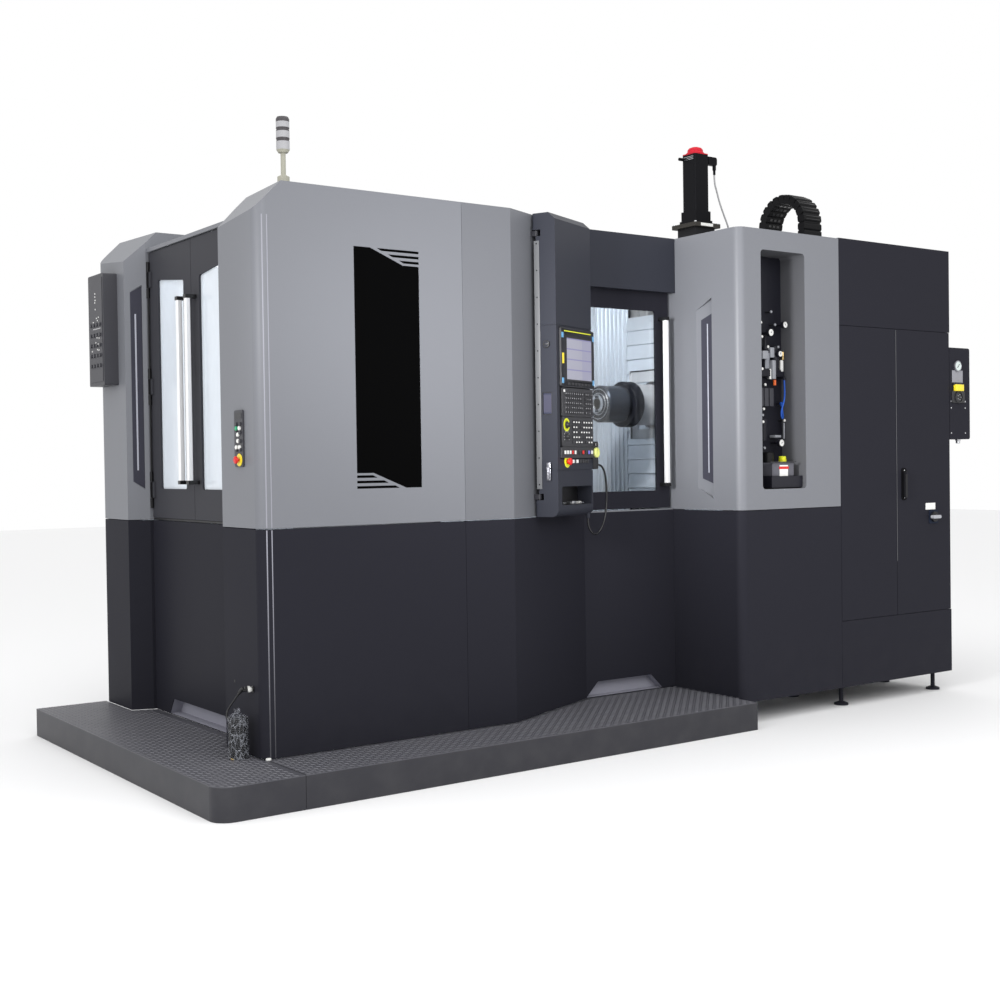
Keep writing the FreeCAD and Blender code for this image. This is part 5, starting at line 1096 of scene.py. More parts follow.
# %% Finishes of the panel
def lit_screen():
    """A lit display: pale blue-grey page with a few ruled bands and fields, no text."""
    material, tree = new_material("lit_screen")
    place = node(tree, "ShaderNodeTexCoord").outputs["Generated"]
    spot = node(tree, "ShaderNodeSeparateXYZ", {0: place}).outputs
    wave = maths(tree, "FRACT", maths(tree, "MULTIPLY", spot["Z"], 4.0))
    band = maths(tree, "GREATER_THAN", wave, 0.88)
    right_field = maths(tree, "GREATER_THAN", spot["X"], 0.62)
    shade = blend(tree, right_field, (0.30, 0.30, 0.36, 1), (0.27, 0.27, 0.35, 1))
    page = blend(tree, band, shade, (0.21, 0.20, 0.34, 1))
    surface(tree, {"Base Color": page, "Roughness": 0.12, "Emission Color": page, "Emission Strength": 0.22})
    return material


screen_glow = lit_screen()
marks_blue = moulded("mark_blue", (0.13, 0.36, 0.62), roughness=0.4)
marks_green = moulded("mark_green", (0.02, 0.30, 0.14), roughness=0.3, glow=0.25)
mark_violet = moulded("mark_violet", (0.20, 0.18, 0.62), roughness=0.4)
# Yellow that glows a little: a lamp in the strip above the screen, and painted glow where it colours the yellow
# rings and the oil tank's cap.
glowing_yellow = moulded("glowing_yellow", (0.66, 0.70, 0.02), roughness=0.35, glow=0.15)
grey_print = moulded("grey_print", (0.42, 0.42, 0.43), roughness=0.5)
bezel_paint = painted("bezel_paint", (0.045, 0.046, 0.055), dust=0.05)
print("panel finishes made")

# %% [markdown]
# **The screen unit.** A bezel with round corners carries the lit page, a raised rim round the
# page, four coloured corner marks, a status lamp above and a row of soft keys below.

# %% Screen unit
FRONT = -155.0
RIM = FRONT - 14.5
PAGE_LEFT, PAGE_RIGHT, PAGE_LOW, PAGE_HIGH = 97, 400, 2034, 2264
bm = start_piece()
plate(bm, rounded(36, 432, 1994, 2316, 9), FRONT - 12, FRONT + 8, 0, 1.2, on_panel)
finish_piece(bm, "screen_back", [bezel_paint], "operator_panel")
bm = start_piece()
panel_block(bm, (PAGE_LEFT, FRONT - 12.6, PAGE_LOW), (PAGE_RIGHT, FRONT - 11.6, PAGE_HIGH), 0, 0.3)
finish_piece(bm, "screen_page", [screen_glow], "operator_panel")
bm = start_piece()
for s0, s1, z0, z1 in ((88, PAGE_LEFT, 2024, 2274), (PAGE_RIGHT, 409, 2024, 2274),
                       (PAGE_LEFT, PAGE_RIGHT, PAGE_HIGH, 2274), (PAGE_LEFT, PAGE_RIGHT, 2024, PAGE_LOW)):
    panel_block(bm, (s0, RIM, z0), (s1, FRONT - 11, z1), 0, 1.0)
for s, z in ((40, 2262), (412, 2262), (40, 2010), (412, 2010)):
    panel_block(bm, (s, FRONT - 13.4, z), (s + 22, FRONT - 11, z + 30), 1, 0.8)
panel_block(bm, (70, FRONT - 13.6, 2298), (392, FRONT - 11, 2303.5), 2, 0.8)
panel_block(bm, (46, FRONT - 13.6, 2120), (66, FRONT - 11, 2178), 3, 0.8)
for i in range(7):
    panel_block(bm, (110 + i * 40, RIM, 2003), (136 + i * 40, FRONT - 11, 2017), 4, 1.0)
finish_piece(bm, "screen_trim", [black_plastic, marks_blue, glowing_yellow, yellow_plastic, key_plastic],
             "operator_panel")

# %% [markdown]
# **Keys.** A key cap has a coloured legend field. The fields are thin printed patches on the
# caps, with no lettering: white ones on the machine keys and grey ones on the keyboard. Chance
# decides which caps have one, and a fixed seed keeps the choice the same each time.

# %% Keyboard and machine keys
random.seed(7)
KEY_FACE = FRONT - 6.0
KEYBOARD_SHARE, MACHINE_KEY_SHARE = 0.8, 0.62
bm = start_piece()
for columns, first_s in ((9, 78), (4, 322)):
    for i in range(columns):
        for j in range(5):
            s, z = first_s + i * 25, 1842 + j * 26
            panel_block(bm, (s + 0.5, KEY_FACE - 5, z + 0.5), (s + 19.5, KEY_FACE - 3.6, z + 19.5), 0, 1.0)
            if random.random() < KEYBOARD_SHARE:
                end = s + 5 + random.choice((5, 8, 10))
                panel_block(bm, (s + 5, KEY_FACE - 5.3, z + 7), (end, KEY_FACE - 4.8, z + 11), 1, 0.2)
panel_block(bm, (60, KEY_FACE - 5.6, 1962), (76, KEY_FACE - 3, 1976), 2, 0.8)
for i in range(8):
    for j in range(5):
        s, z = 165 + i * 31, 1676 + j * 28
        panel_block(bm, (s + 0.6, KEY_FACE - 5.2, z + 0.6), (s + 23.4, KEY_FACE - 3.6, z + 16.4), 0, 1.0)
        if random.random() < MACHINE_KEY_SHARE:
            panel_block(bm, (s + 4, KEY_FACE - 5.6, z + 4), (s + 20, KEY_FACE - 5.0, z + 12), 2, 0.3)
finish_piece(bm, "key_legends", [key_plastic, grey_print, white_plastic], "operator_panel")

# %% [markdown]
# **Dials and buttons.** The two override knobs stand in printed rings: one is a raised yellow
# ring, the other a ring of small marks. The rows under them have square lit buttons, and the
# emergency stop has a yellow ring, wide enough inside for its knob to be pushed in.

# %% Rings and button rows
def on_dial(x, z, length, degrees):
    """The end of a dial's pointer, turned from upright like a clock's hand."""
    a = math.radians(degrees)
    return x + length * math.sin(a), z + length * math.cos(a)


DIAL_MARKS = [-120 + 30 * k for k in range(9)]
FEED_RING = [(27, 0), (29, 0.4), (36, 0.4), (37, 0), (27, 0)]
STOP_RING = [(14, 0), (34, 0), (34, 2.4), (32, 3.2), (14.6, 3.2), (14, 0)]
bm = start_piece()
# The feed ring glows a little: painted light.
panel_turned(bm, FEED_RING, (98, KEY_FACE - 0.2, 1780), TO_FRONT, 0, 40)
for degrees in DIAL_MARKS:
    s, z = on_dial(98, 1714, 31, degrees)
    panel_block(bm, (s - 2, KEY_FACE - 0.8, z - 2), (s + 2, KEY_FACE + 0.2, z + 2), 1, 0.4)
for first, pitch, width, colours in ((62, 30, 20, (1, 1, 1, 4, 1)), (242, 36, 22, (6, 4, 6, 3, 1))):
    for i, colour in enumerate(colours):
        s = first + i * pitch
        panel_block(bm, (s, KEY_FACE - 6, 1617), (s + width, KEY_FACE - 3.5, 1637), colour, 1.5, 2)
for s, colour in ((183, 1), (231, 1), (270, 6), (300, 6), (330, 6), (360, 6)):
    panel_block(bm, (s - 11, FRONT - 4.5, 1567), (s + 11, FRONT + 3.6, 1586), colour, 1.5, 2)
# The stop's yellow ring glows a little: painted light.
panel_turned(bm, STOP_RING, (112, FRONT + 1.6, 1576), TO_FRONT, 0, 40)
BUTTON_COLOURS = [glowing_yellow, white_plastic, marks_green, mark_violet, red_plastic, yellow_plastic,
                  key_plastic]
finish_piece(bm, "panel_buttons", BUTTON_COLOURS, "operator_panel")

# %% [markdown]
# **The side of the column.** It carries a small display behind glass, a cam lock above it and a
# chrome latch below, with which the panel is locked in place.

# %% Side display
side_glass = zoned("side_display", (0.045, 0.048, 0.075), [
    ((0.062, 0.062, 0.092), on_panel(-30, -116, 1850), on_panel(40, -70, 1945))], roughness=0.3, shine=0.12)
bm = start_piece()
panel_block(bm, (3.2, -119, 1841), (6.6, -68, 1955))
for out0, out1, z0, z1 in ((-124, -121, 1836, 1960), (-66, -63, 1836, 1960),
                           (-121, -66, 1957, 1960), (-121, -66, 1836, 1839)):
    panel_block(bm, (-1.4, out0, z0), (2, out1, z1), 1)
finish_piece(bm, "side_display", [side_glass, black_plastic], "operator_panel")

# %% [markdown]
# **Lock and latch.** The lock is a turned boss with a bar across it, and the latch is a lever on
# a narrow plate. Both stand on the column's side, so their profiles are turned to the left.

# %% Lock and latch
latch_steel = metal("latch_steel", (0.30, 0.30, 0.33), contrast=0.5, metallic=0.8)
LOCK_RIM = [(19.2, 0), (21, 1), (21, 6), (19, 9.4), (15, 9.8), (14, 8.6), (0, 8.6)]
LATCH_BOSS = [(0, 0), (11, 0), (12, 2), (12, 9), (9, 12), (0, 12)]
bm = start_piece()
panel_turned(bm, LOCK_RIM, (0, -95, 2225), TO_LEFT, 0, 36)
panel_block(bm, (-12.5, -110, 2221), (-8, -80, 2229), 1, 1.2, 2)
finish_piece(bm, "column_lock", [black_plastic, key_plastic], "operator_panel")
bm = start_piece()
panel_block(bm, (-15.5, -116, 1473), (-13, -92, 1571), 0, 1.2, 2)
panel_turned(bm, LATCH_BOSS, (-13, -104, 1540), TO_LEFT, 0, 32)
panel_block(bm, (-27, -110, 1480), (-20, -98, 1545), 0, 2.5, 3)
panel_turned(bm, rod(7, 8), (-13, -104, 1490), TO_LEFT, 0, 24)
finish_piece(bm, "column_latch", [latch_steel], "operator_panel")

# %% [markdown]
# **The tray.** Under the keys is a dark recess for small things. A few tools lie in it, and its
# inside is lined with black rubber.

# %% Tray lining and its contents
bm = start_piece()
panel_block(bm, (52, -152, 1333.4), (405, -62, 1335.4))
panel_block(bm, (52, -64, 1335), (405, -61, 1434))
bar(bm, (120, -120, 1342), (190, -100, 1342), 5, 1, 16, on_panel)
panel_block(bm, (215, -130, 1335), (262, -96, 1352), 1, 2, 2)
bar(bm, (300, -138, 1341), (352, -128, 1341), 4, 1, 16, on_panel)
panel_block(bm, (330, -112, 1335), (362, -84, 1348), 2, 2, 2)
finish_piece(bm, "tray_things", [hose_rubber, ground_steel, white_plastic], "operator_panel")

# %% [markdown]
# **The handwheel box.** It is black, with a pale dial that has a ring of small marks. Above the
# dial, two small selectors with white pointers stand on a dark plate.

# %% Handwheel box trim
DIAL_S, DIAL_Z, DIAL_RADIUS = 459, 1626, 26.4
SELECTOR = [(8.2, 0), (9, 0.6), (9, 7.6), (7.4, 9.8), (0, 9.8)]
bm = start_piece()
plate(bm, rounded(430, 488, 1655, 1686, 8), -159.4, -157.8, 0, 0.4, on_panel)
for s in (442, 474):
    panel_turned(bm, SELECTOR, (s, -158, 1672), TO_FRONT, 1, 24)
    panel_block(bm, (s - 1.4, -169, 1665), (s + 1.4, -167, 1679), 2, 0.4)
for s, z in on_circle(20, DIAL_RADIUS, DIAL_S, DIAL_Z):
    panel_block(bm, (s - 0.8, -158.9, z - 0.8), (s + 0.8, -157.9, z + 0.8), 2, 0.2)
finish_piece(bm, "handwheel_trim", [key_plastic, black_plastic, white_plastic], "operator_panel")

# %% [markdown]
# ## Light slots
# Beside each loading door, and on the side of the utility column, a wedge-shaped slot is folded
# into the sheet, and a thin strip light shines in it. The recess is part of the solids. Its
# sloped inner sheet is dark, so a thin dark plate lies on it and carries a frosted strip. Each
# slot is drawn flat and set in place by a small function of its own.

# %% Places in the slots
MACHINE_DEPTH = 2186.0
SLOT_CORNER_Y, SLOT_START, SLOT_WIDTH, SLOT_DEPTH = 430, 31, 69, 16
SLOT_ALONG = Vector((116.0, 47.0, 0.0)).normalized()
SLOT_OUT = Vector((-SLOT_ALONG.y, SLOT_ALONG.x, 0.0))


def in_near_slot(along, out, up):
    """A point over the sloped sheet of the near post's slot."""
    sunk = SLOT_DEPTH * along / SLOT_WIDTH - out
    return at(*(Vector((0, SLOT_CORNER_Y, up)) + (SLOT_START + along) * SLOT_ALONG - sunk * SLOT_OUT))


def in_far_slot(along, out, up):
    """The same point on the far post, mirrored across the machine."""
    near = in_near_slot(along, out, up)
    return Vector((near.x, (MACHINE_DEPTH - 2 * ORIGIN.y) / 1000 - near.y, near.z))


def in_column_slot(along, out, up):
    """A point over the sloped sheet of the utility column's slot."""
    return at(2980 + 28 * along / 134 - out, 116 - along, up)


print("a slot is", SLOT_WIDTH, "mm wide and", SLOT_DEPTH, "mm deep")

# %% [markdown]
# **Linings and lights.** With the places known, one lining and one strip serve both posts. The
# column's slot is wider and gets a pair of its own.

# %% Dark linings and strip lights
slot_dark = painted("slot_dark", (0.046, 0.046, 0.062), dust=0.0, shine=0.1)
strip_light = moulded("strip_light", (0.40, 0.41, 0.47), roughness=0.4, glow=0.05)
bm = start_piece()
for spot in (in_near_slot, in_far_slot):
    plate(bm, [(3, 1495), (67, 1455), (67, 2632), (3, 2594)], -0.4, 1.2, 0, 0.3, spot)
    block(bm, (26, 1.1, 1560), (35, 2.4, 2470), 1, 0.5, 1, spot)
plate(bm, [(36, 1462), (132, 1423), (132, 2470), (36, 2426)], -0.5, 1.2, 0, 0.3, in_column_slot)
block(bm, (78, 1.1, 1497), (85, 2.4, 2400), 1, 0.5, 1, in_column_slot)
finish_piece(bm, "slot_lights", [slot_dark, strip_light], "machine")

# %% [markdown]
# ## The air-service bay
# The open bay shows a black board with regulators, valves, gauges and an oil tank. The solids
# have the large devices; what gives such a board its look is the number of small bright things on
# it: dial faces with pointers, push-in fittings, set screws, a brass valve and a bare label.

# %% Gauges of the air board
def gauge(bm, x, y, z, radius, lean):
    """A dial face with nine marks, a leaning pointer and its hub."""
    turned(bm, rod(radius - 0.4, 0.7), (x, y, z), TO_FRONT, 0, 32)
    for degrees in DIAL_MARKS:
        u, w = on_dial(x, z, radius - 4, degrees)
        block(bm, (u - 0.7, y - 1.1, w - 0.7), (u + 0.7, y - 0.6, w + 0.7), 1, 0.1, 1)
    (u0, w0), (u1, w1) = on_dial(x, z, -5, lean), on_dial(x, z, 13, lean)
    bar(bm, (u0, y - 1.4, w0), (u1, y - 1.4, w1), 0.9, 1, 8)
    turned(bm, [(0, 0), (2.6, 0), (2.2, 2.0), (0, 2.0)], (x, y - 0.6, z), TO_FRONT, 1, 16)


bm = start_piece()
for dial in ((3366, -137, 2350, 21, 40), (3486, -143, 2402, 19, -30), (3455, -129, 2223, 18, 10),
             (3444, -143, 1673, 21, 60)):
    gauge(bm, *dial)
print("gauges drawn, faces so far:", len(bm.faces))

# %% [markdown]
# **Fittings.** A push-in fitting is a short rod with a round button, white or light grey. The
# valves' bodies are light grey blocks with well-broken edges, and small turned caps and rods
# stand on the board between them.

# %% Fittings of the air board
BOARD_FRONT = -55
PUSH_BUTTON = [(0, 0), (8, 0), (8.5, 1), (8.5, 7), (7, 9), (0, 9)]
PUSH_IN_FITTINGS = (
    (3407, 2482), (3316, 2413), (3440, 2404), (3324, 2326), (3376, 2266), (3466, 2267), (3324, 2129),
    (3349, 2032), (3324, 1962), (3329, 1921), (3333, 1883), (3324, 1845), (3327, 1804), (3516, 1813),
    (3337, 1643), (3282, 2300), (3282, 1760))
for x, z in PUSH_IN_FITTINGS:
    turned(bm, rod(5.5, 41), (x, BOARD_FRONT, z), TO_FRONT, 1, 16)
    turned(bm, PUSH_BUTTON, (x, BOARD_FRONT - 41, z), TO_FRONT, 0 if (x + z) % 3 else 2, 20)
for x, z0, z1, half in ((3345, 2190, 2240, 25), (3419, 2068, 2184, 15), (3448, 1706, 1722, 26),
                        (3404, 2200, 2262, 18)):
    block(bm, (x - half, -112, z0), (x + half, -60, z1), 2, 4.0, 2)
for x, z, tall, r, slot in ((3515, 2190, 50, 8, 3), (3502, 2117, 70, 11, 0), (3400, 2068, 62, 7, 0),
                            (3440, 2030, 34, 9, 4), (3300, 1560, 130, 5, 2), (3520, 1700, 100, 4, 2)):
    profile = [(0, 0), (r, 0), (r + 1, 2), (r + 1, tall - 4), (r - 1, tall), (0, tall)]
    turned(bm, profile, (x, -92, z), UPWARD, slot, 20)
print("fittings drawn, faces so far:", len(bm.faces))

# %% [markdown]
# **Oil tank.** The tank is one of the solids. The rim of its lid, a bare label with a red band, a
# yellow cap and two orange hoses are added here.

# %% Oil tank's label, cap and hoses
light_grey_plastic = moulded("light_grey_plastic", (0.30, 0.31, 0.34), roughness=0.4)
orange_plastic = moulded("orange_plastic", (0.75, 0.13, 0.02), roughness=0.35)
block(bm, (3264, -222.5, 1553), (3482, -204, 1558), 5, 1.5, 1)
block(bm, (3356, -207.2, 1426), (3428, -204.8, 1537), 0, 0.4, 1)
block(bm, (3350, -207.8, 1512), (3434, -207.0, 1528), 6, 0.3, 1)
# The tank's yellow cap glows a little: painted light.
turned(bm, [(0, 0), (21, 0), (22, 3), (22, 10), (17, 13), (0, 13)], (3440, -151, 1578), UPWARD, 7, 32)
bar(bm, (3484, -120, 1452), (3532, -90, 1418), 4, 6, 12)
bar(bm, (3484, -140, 1436), (3534, -120, 1408), 4, 4, 12)
BAY_COLOURS = [white_plastic, black_plastic, light_grey_plastic, brass, orange_plastic, key_plastic,
               red_plastic, glowing_yellow]
finish_piece(bm, "bay_fittings", BAY_COLOURS, "machine")

# %% [markdown]
# ## Controls at the loading end
# A narrow strip beside the loading doors carries a small display, lit push buttons and the
# emergency stop with its yellow ring. The second control box, on the far post, has rows of small
# white lamps round a ruled line.

# %% Button strip
STRIP_BUTTON = [(0, 0), (9.5, 0), (10.5, 1), (10.5, 7.5), (8.5, 9.6), (0, 9.6)]
STRIP_STOP_RING = [(8, 0), (31, 0), (31, 2.6), (29, 3.4), (8, 3.4), (8, 0)]
bm = start_piece()
block(bm, (-9.9, 170, 1806), (-11.2, 241, 1836), 4, 0.4, 1)
for y, z, slot in ((222, 1760, 1), (186, 1760, 0), (204, 1729, 0), (204, 1698, 0), (222, 1667, 0),
                   (186, 1667, 0)):
    turned(bm, STRIP_BUTTON, (-9, y, z), TO_LEFT, slot, 24)
turned(bm, STRIP_STOP_RING, (-9.2, 198, 1605), TO_LEFT, 2, 40)
finish_piece(bm, "strip_buttons", [white_plastic, marks_green, yellow_plastic, light_grey_plastic, key_plastic],
             "machine")

# %% [markdown]
# **Second control box.** Its small lamps are round caps. They stand in loose groups, so their
# places are listed one by one, and a grey ruled line parts the upper ones from the lower.

# %% Lamps of the second control box
REMOTE_LAMPS = (
    (1990, 2604), (1992, 2586), (1990, 2566), (1996, 2552), (1990, 2512), (2026, 2438), (1972, 2458),
    (1955, 2444), (1930, 2430), (1940, 2462), (1966, 2344), (1932, 2340), (1988, 2316), (2018, 2300),
    (1950, 2306), (1966, 2300), (1934, 2296), (2052, 2268), (1962, 2274), (1938, 2270))
bm = start_piece()
for y, z in REMOTE_LAMPS:
    turned(bm, cap(4.6, 2.8), (-88, y, z), TO_LEFT, 0, 16)
block(bm, (-88.9, 1908, 2394), (-87.8, 2036, 2399), 1, 0.2, 1)
finish_piece(bm, "remote_lamps", [white_plastic, grey_print], "machine")

# %% [markdown]
# ## Spindle and headstock
# The nose of the spindle is a dark ground cylinder with a bright seat round the tool bore. A
# ring of screws holds its cover, and a second, larger ring belongs to the headstock's housing.
# Behind the housing, a flat light cover plate with a folded bright edge travels with the head.

# %% Rings and screws of the nose
AXIS_Y, AXIS_Z = 1093, 1960
TOOL_SEAT = [(36, 0), (60, 0), (62, 1.2), (62, 3), (40, 3.4), (36, 0)]
COLLAR = [(124.2, 0), (125.6, 1), (125.6, 9), (124.2, 10)]
NOSE_SCREW = [(3, 0), (7.5, 0), (7.5, 5), (6.5, 6), (3.4, 6), (3, 2)]
HOUSING_SCREW = [(3.4, 0), (8, 0), (8, 6), (7, 7), (3.8, 7), (3.4, 3)]
bm = start_piece()
turned(bm, TOOL_SEAT, (2990.4, AXIS_Y, AXIS_Z), TO_LEFT, 0, 48)
for r, slot in ((70, 0), (84, 1), (98, 0), (110, 1)):
    ring = [(r, 0), (r + 5, 0), (r + 4, 1.6), (r + 1, 1.6), (r, 0)]
    turned(bm, ring, (3000.2, AXIS_Y, AXIS_Z), TO_LEFT, slot, 48)
for y, z in on_circle(8, 91, AXIS_Y, AXIS_Z, 0.5):
    turned(bm, NOSE_SCREW, (3000.4, y, z), TO_LEFT, 1, 16)
turned(bm, COLLAR, (3186, AXIS_Y, AXIS_Z), TO_LEFT, 1, 64)
finish_piece(bm, "nose_rings", [ground_steel, black_paint], "spindle_rotor")
bm = start_piece()
for y, z in on_circle(12, 140, AXIS_Y, AXIS_Z, 0.5):
    turned(bm, HOUSING_SCREW, (3206, y, z), TO_LEFT, 0, 16)
finish_piece(bm, "ring_screws", [black_paint], "headstock")

# %% [markdown]
# **Cover plate.** It is a frame of four flat sheets round the housing, with a bright folded edge
# on one side and a dark one on top.

# %% Cover plate of the head
head_white = painted("head_white", (0.50, 0.52, 0.55), dust=0.0, shine=0.5)
bm = start_piece()
for y0, y1, z0, z1 in ((862, 930, 1732, 2198), (1256, 1318, 1732, 2198),
                       (930, 1256, 1732, 1797), (930, 1256, 2123, 2198)):
    block(bm, (3489, y0, z0), (3491.5, y1, z1), 0, 0.8, 1)
block(bm, (3476, 1318, 1732), (3491, 1328, 2198), 1, 1.2, 2)
block(bm, (3484, 862, 2198), (3491, 1328, 2206), 2, 0.8, 1)
finish_piece(bm, "head_plate", [head_white, bar_aluminium, black_paint], "headstock")

# %% [markdown]
# **The end of the work area.** Beyond the sheets that travel with the column, a fixed ribbed
# sheet closes the corner up to the far wall. It stands just behind their path, so the column
# passes in front of it with its covers.

# %% Fixed ribbed end sheet
bm = start_piece()
block(bm, (3531, 1748, 880), (3534, 2122, 2892), 0, 0.6, 1)
for y in range(1754, 2114, 45):
    block(bm, (3524.5, y, 888), (3531.5, y + 22, 2884), 0, 2.0, 2)
finish_piece(bm, "end_sheet", [stainless], "machine")

# %% [markdown]
# ## Details on the roof
# The cable carrier is a chain of black links whose cross bars catch the light on the outside,
# with small windows between them on the inside. Each link is drawn flat and set on the bow by a
# function that knows the link's turn.

# %% Carrier cross bars
gloss_black = moulded("gloss_black", (0.010, 0.010, 0.011), roughness=0.16)
CARRIER_X, CARRIER_Y, CARRIER_Z = 4508, 750.0, 3445.0 - 216.0
CARRIER_LINKS = 11


def link_place(turn):
    """A function for points over one link: across the chain, along it, out of its bend."""
    def on_link(across, along, out):
        y = CARRIER_Y + out * math.cos(turn) - along * math.sin(turn)
        return at(CARRIER_X + across, y, CARRIER_Z + out * math.sin(turn) + along * math.cos(turn))

    return on_link


bm = start_piece()
for i in range(CARRIER_LINKS):
    on_link = link_place(math.pi * (i + 0.5) / CARRIER_LINKS)
    for v in (-13, 9):
        block(bm, (-70, v, 213.5), (70, v + 5, 218.5), 0, 1.2, 2, on_link)
    for u in (-52, -12, 28):
        block(bm, (u, -9, 152.2), (u + 24, 9, 155), 0, 1.0, 1, on_link)
finish_piece(bm, "carrier_bars", [gloss_black], "machine")

# %% [markdown]
# **The servo motor** has a bare white plate on the front of its flange, a screw at each corner
# of the flange, and three cooling fins on its side.

# %% Motor plate, screws and fins
MOTOR_SCREW = [(3, 0), (8.5, 0), (8.5, 7), (7.4, 8), (3.6, 8), (3, 4)]
bm = start_piece()
block(bm, (3852, 971.2, 3213), (3968, 972.4, 3233), 0, 0.4, 1)
for x, y in ((3812, 985), (4028, 985), (3812, 1201), (4028, 1201)):
    turned(bm, MOTOR_SCREW, (x, y, 3237), UPWARD, 1, 16)
for z in (3690, 3700, 3710):
    block(bm, (3853.1, 1045, z), (3854.3, 1141, z + 3), 1, 0.3, 1)
finish_piece(bm, "motor_trim", [white_plastic, ground_steel], "travelling_column")

# %% [markdown]
# ## Strips along doors and panel
# A folded light strip closes the gap under the operator's door. Another one is screwed to the
# left side of the swivelling panel and hides its hinge line, clear of the two hinge arms.

# %% Door sill and hinge strip
strip_grey = painted("strip_grey", (0.125, 0.128, 0.135), dust=0.0, shine=0.3)
STRIP_SCREW = [(1.6, 0), (4.2, 0), (4.2, 1.2), (3.4, 1.8), (1.8, 1.8), (1.6, 1)]
bm = start_piece()
block(bm, (2214, 339.4, 1267.5), (2977, 350.5, 1276.5), 0, 1.2, 2)
finish_piece(bm, "door_sill", [light_paint], "machine")
bm = start_piece()
panel_block(bm, (-3.6, -56, 1425), (-0.4, -23, 2798), 0, 1.2, 2)
for z in range(1450, 2790, 148):
    panel_turned(bm, STRIP_SCREW, (-3.5, -40, z), TO_LEFT, 1, 14)
finish_piece(bm, "hinge_strip", [strip_grey, black_paint], "operator_panel")

# %% [markdown]
# ## Seals and small things round the doors
# Black rubber seals close the gaps beside and under the loading doors, and the joint of the two steps is filled
# with the same rubber; under the doors the black also stands in for the shade in the gap, as painted shade.
# Thin sections with broken edges are enough for them.

# %% Door seals
seal_black = moulded("seal_black", (0.004, 0.004, 0.005), roughness=0.5)
bm = start_piece()
for y in (478.2, 1704.2):
    block(bm, (134, y, 1284), (162, y + 3.6, 2822), 0, 0.6, 1)
# The seal under the doors: black rubber, and painted shade of the gap there.
block(bm, (134.5, 486, 1271.5), (162, 1700, 1282.5), 0, 0.8, 1)
block(bm, (12.0, -404, 160.05), (16.0, -2, 161.0), 0, 0.3, 1)
turned(bm, cap(8, 1, 0.4), (-0.1, 317, 505), TO_LEFT, 0, 24)
finish_piece(bm, "door_seals_and_gap_shade", [seal_black], "machine")

# %% [markdown]
# ** Corner highlights.** Two thin raised strips on the bend of the corner post carry painted highlights of the bend, and on the dark base the painted highlight grows brighter towards the top. At the post's foot a bright cap covers a bolt of the step.

# %% Corner highlights and bolt cap
def painted_highlight_fade(name, low_colour, high_colour, low, high):
    """Painted highlight that goes from one colour to another between two heights, in metres."""
    material, tree = new_material(name)
    place = node(tree, "ShaderNodeTexCoord").outputs["Object"]
    height = node(tree, "ShaderNodeSeparateXYZ", {0: place}).outputs["Z"]
    tint = blend(tree, ranged(tree, height, 0.0, 1.0, low, high), (*low_colour, 1), (*high_colour, 1))
    grain = group_node(tree, paint_grain, {"Colour": tint, "Fineness": 500.0, "Drift": 0.1})
    surface(tree, {"Base Color": grain["Colour"], "Roughness": grain["Roughness"]})
    return material


BEND_RADIUS, HIGHLIGHT_HALF = 55, 3.6
HIGHLIGHT_SECTION = ((-1, -0.6), (-0.4, 0.7), (0.4, 0.7), (1, -0.6))
HIGHLIGHT_GREY = (0.27, 0.27, 0.31)
bm = start_piece()
for low, high, slot in ((166, 1264, 0), (1276, 2780, 1)):
    for turn in (70, 96):
        a = math.radians(min(turn, 90))
        x = BEND_RADIUS - BEND_RADIUS * math.cos(a) + (turn - min(turn, 90)) * 1.1
        y = BEND_RADIUS - BEND_RADIUS * math.sin(a)
        along = Vector((math.sin(a), -math.cos(a), 0)) * HIGHLIGHT_HALF
        out = Vector((-math.cos(a), -math.sin(a), 0))
        outline = [Vector((x, y, 0)) + along * u + out * v for u, v in HIGHLIGHT_SECTION]
        plate(bm, [(point.x, point.y) for point in outline], low, high, slot, 0.2, at, (0, 1, 2))
# Painted highlights: dark grey to light grey up the base, plain light grey on the cover.
highlight_paints = [painted_highlight_fade("base_painted_highlight", (0.055, 0.055, 0.065), (0.30, 0.30, 0.35), 0.35, 1.25),
                 painted_highlight_fade("cover_painted_highlight", HIGHLIGHT_GREY, HIGHLIGHT_GREY, 1.3, 2.8)]
finish_piece(bm, "corner_highlights", highlight_paints, "machine")
bm = start_piece()
turned(bm, [(0, 0), (13, 0), (14, 1), (14, 6), (11, 9), (0, 10)], (20, -6, 160.2), UPWARD, 0, 28)
finish_piece(bm, "bolt_cap", [white_plastic], "machine")

# %% [markdown]
# ## The services box
# On the cabinet's end sits a sheet box with the machine's service connections: a round gauge
# with a chrome rim, a bare rating plate, a socket with a yellow flap in a black surround, six
# cover screws and a cable gland. It is drawn whole here, because its fittings sit tighter
# together than the plain solid shows them.

# %% Box, gauge and plate
dial_white = moulded("dial_white", (0.60, 0.68, 0.66), roughness=0.3)
plate_grey = painted("plate_grey", (0.26, 0.26, 0.29), fineness=160.0, dust=0.0)
BOX_FRONT = -251.0
BOX_OUTLINE = [(4965.5, 1692), (5173, 1692), (5181, 1696), (5185, 1704),
               (5185, 2299), (5181, 2307), (5173, 2311), (4965.5, 2311)]
CHROME_RIM = [(0, 0), (36, 0), (37, 2), (37, 12), (34, 14), (31, 14), (30, 12), (0, 12)]
GAUGE_PLACE = (5044, BOX_FRONT, 2187)
bm = start_piece()
plate(bm, BOX_OUTLINE, BOX_FRONT + 0.2, BOX_FRONT + 130, 0, 1.6, at)
turned(bm, CHROME_RIM, GAUGE_PLACE, TO_FRONT, 1, 40)
turned(bm, [(0, 12), (30, 12), (30, 12.6), (0, 12.6)], GAUGE_PLACE, TO_FRONT, 2, 40)
bar(bm, (5034, -264.4, 2176), (5056, -264.4, 2200), 1.8, 3, 10)
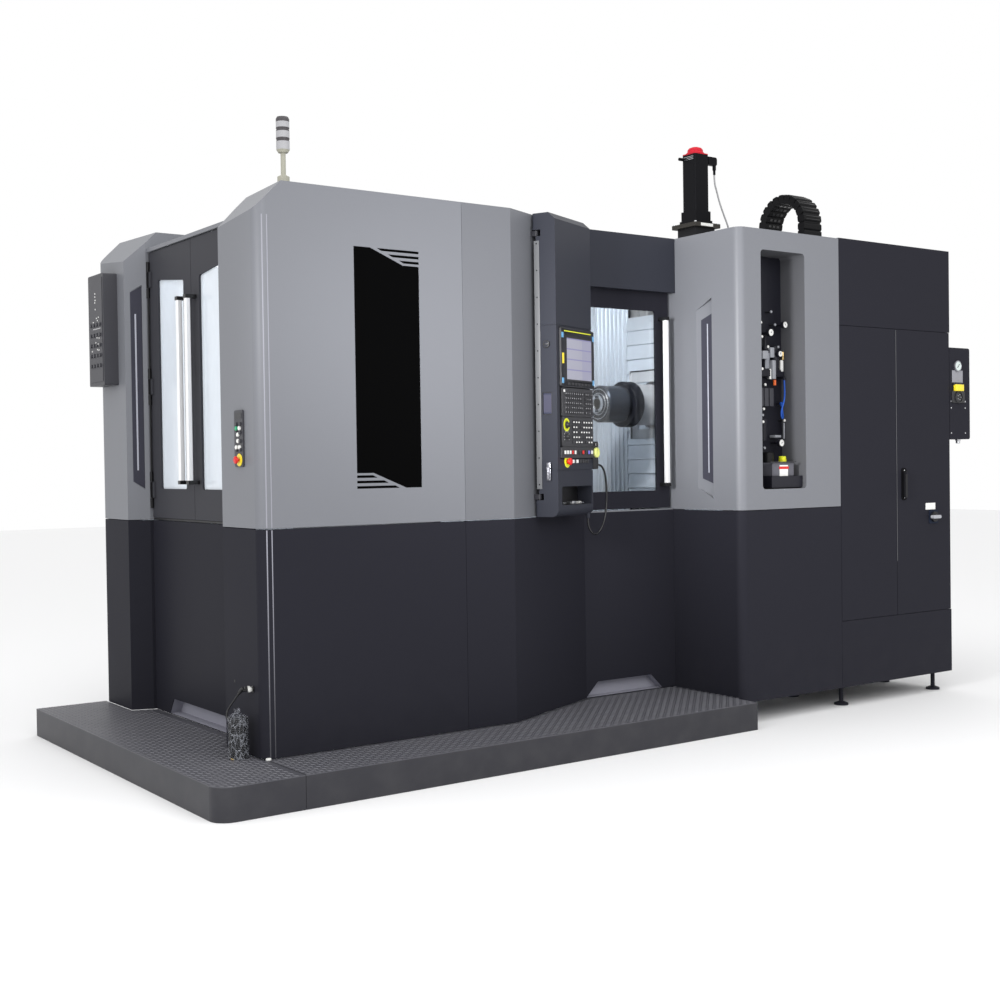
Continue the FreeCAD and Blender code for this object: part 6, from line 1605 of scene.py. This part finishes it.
plate(bm, [(4991, 2076), (5106, 2076), (5106, 2158), (4991, 2158)], BOX_FRONT - 1.6, BOX_FRONT + 1, 4, 0.5, at)
print("box drawn, faces so far:", len(bm.faces))

# %% [markdown]
# **Socket and screws.** The socket is a turned rim with five pins, in a surround with round
# corners and under a yellow flap. Six screws hold the cover, and the cable's gland hangs below.

# %% Socket, screws and gland
SOCKET_BODY = [(0, 0), (40, 0), (40, 6), (34, 9), (34, 3), (0, 3)]
SOCKET_PIN = [(0, 0), (3.4, 0), (3, 4), (0, 4)]
GLAND = [(0, 0), (20, 0), (20, 8), (15, 10), (15, 26), (9, 30), (0, 30)]
SOCKET_X, SOCKET_Z = 5048, 1976
plate(bm, rounded(4982, 5118, 1938, 2020, 12), BOX_FRONT - 10, BOX_FRONT + 1, 3, 2.0, at)
turned(bm, SOCKET_BODY, (SOCKET_X, BOX_FRONT - 10, SOCKET_Z), TO_FRONT, 3, 32)
for x, z in on_circle(5, 18, SOCKET_X, SOCKET_Z):
    turned(bm, SOCKET_PIN, (x, BOX_FRONT - 13, z), TO_FRONT, 5, 12)
block(bm, (5002, BOX_FRONT - 26, 2018), (5088, BOX_FRONT - 2, 2062), 6, 4, 3)
block(bm, (4996, BOX_FRONT - 14, 2058), (5094, BOX_FRONT - 1, 2070), 3, 3, 2)
for x in (4979, 5131):
    for z in (1948, 1904, 1734):
        turned(bm, cap(5.2, 2.4), (x, BOX_FRONT, z), TO_FRONT, 5, 16)
turned(bm, GLAND, (5104, BOX_FRONT + 40, 1692), DOWNWARD, 7, 28)
BOX_COLOURS = [dark_paint, latch_steel, dial_white, black_plastic, plate_grey, ground_steel, yellow_plastic,
               ground_steel]
services_unit = finish_piece(bm, "services_unit", BOX_COLOURS, "machine")
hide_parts("services_box")

# %% [markdown]
# ## Electrical cabinet
# A thin bright strip where its doors meet is a painted highlight of the seam's edge. The swing lever has two
# small screws, and above the main switch sits a bare white plate.

# %% Cabinet trim
bm = start_piece()
# Painted highlight: the bright strip on the seam between the doors.
block(bm, (4403.4, -251.9, 900), (4406.2, -250.6, 2402), 2, 0.2, 1)
block(bm, (4697, -252.8, 1224), (4798, -251.2, 1268), 0, 0.4, 1)
for z in (1311, 1489):
    turned(bm, cap(4.6, 2.2), (4471, -259, z), TO_FRONT, 1, 16)
finish_piece(bm, "cabinet_trim", [white_plastic, ground_steel, strip_grey], "right_cabinet_door")

# %% [markdown]
# ## Measure
# The dressed machine's box is measured again and both boxes are kept, so that how far it grew out of its solids
# can be printed.

# %% Measure and finish
low_end, high_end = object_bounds()
grown = [max(a - b, c - d, 0.0) for a, b, c, d in zip(cad_low, low_end, high_end, cad_high)]
print("box grew by", [round(share, 4) for share in grown])
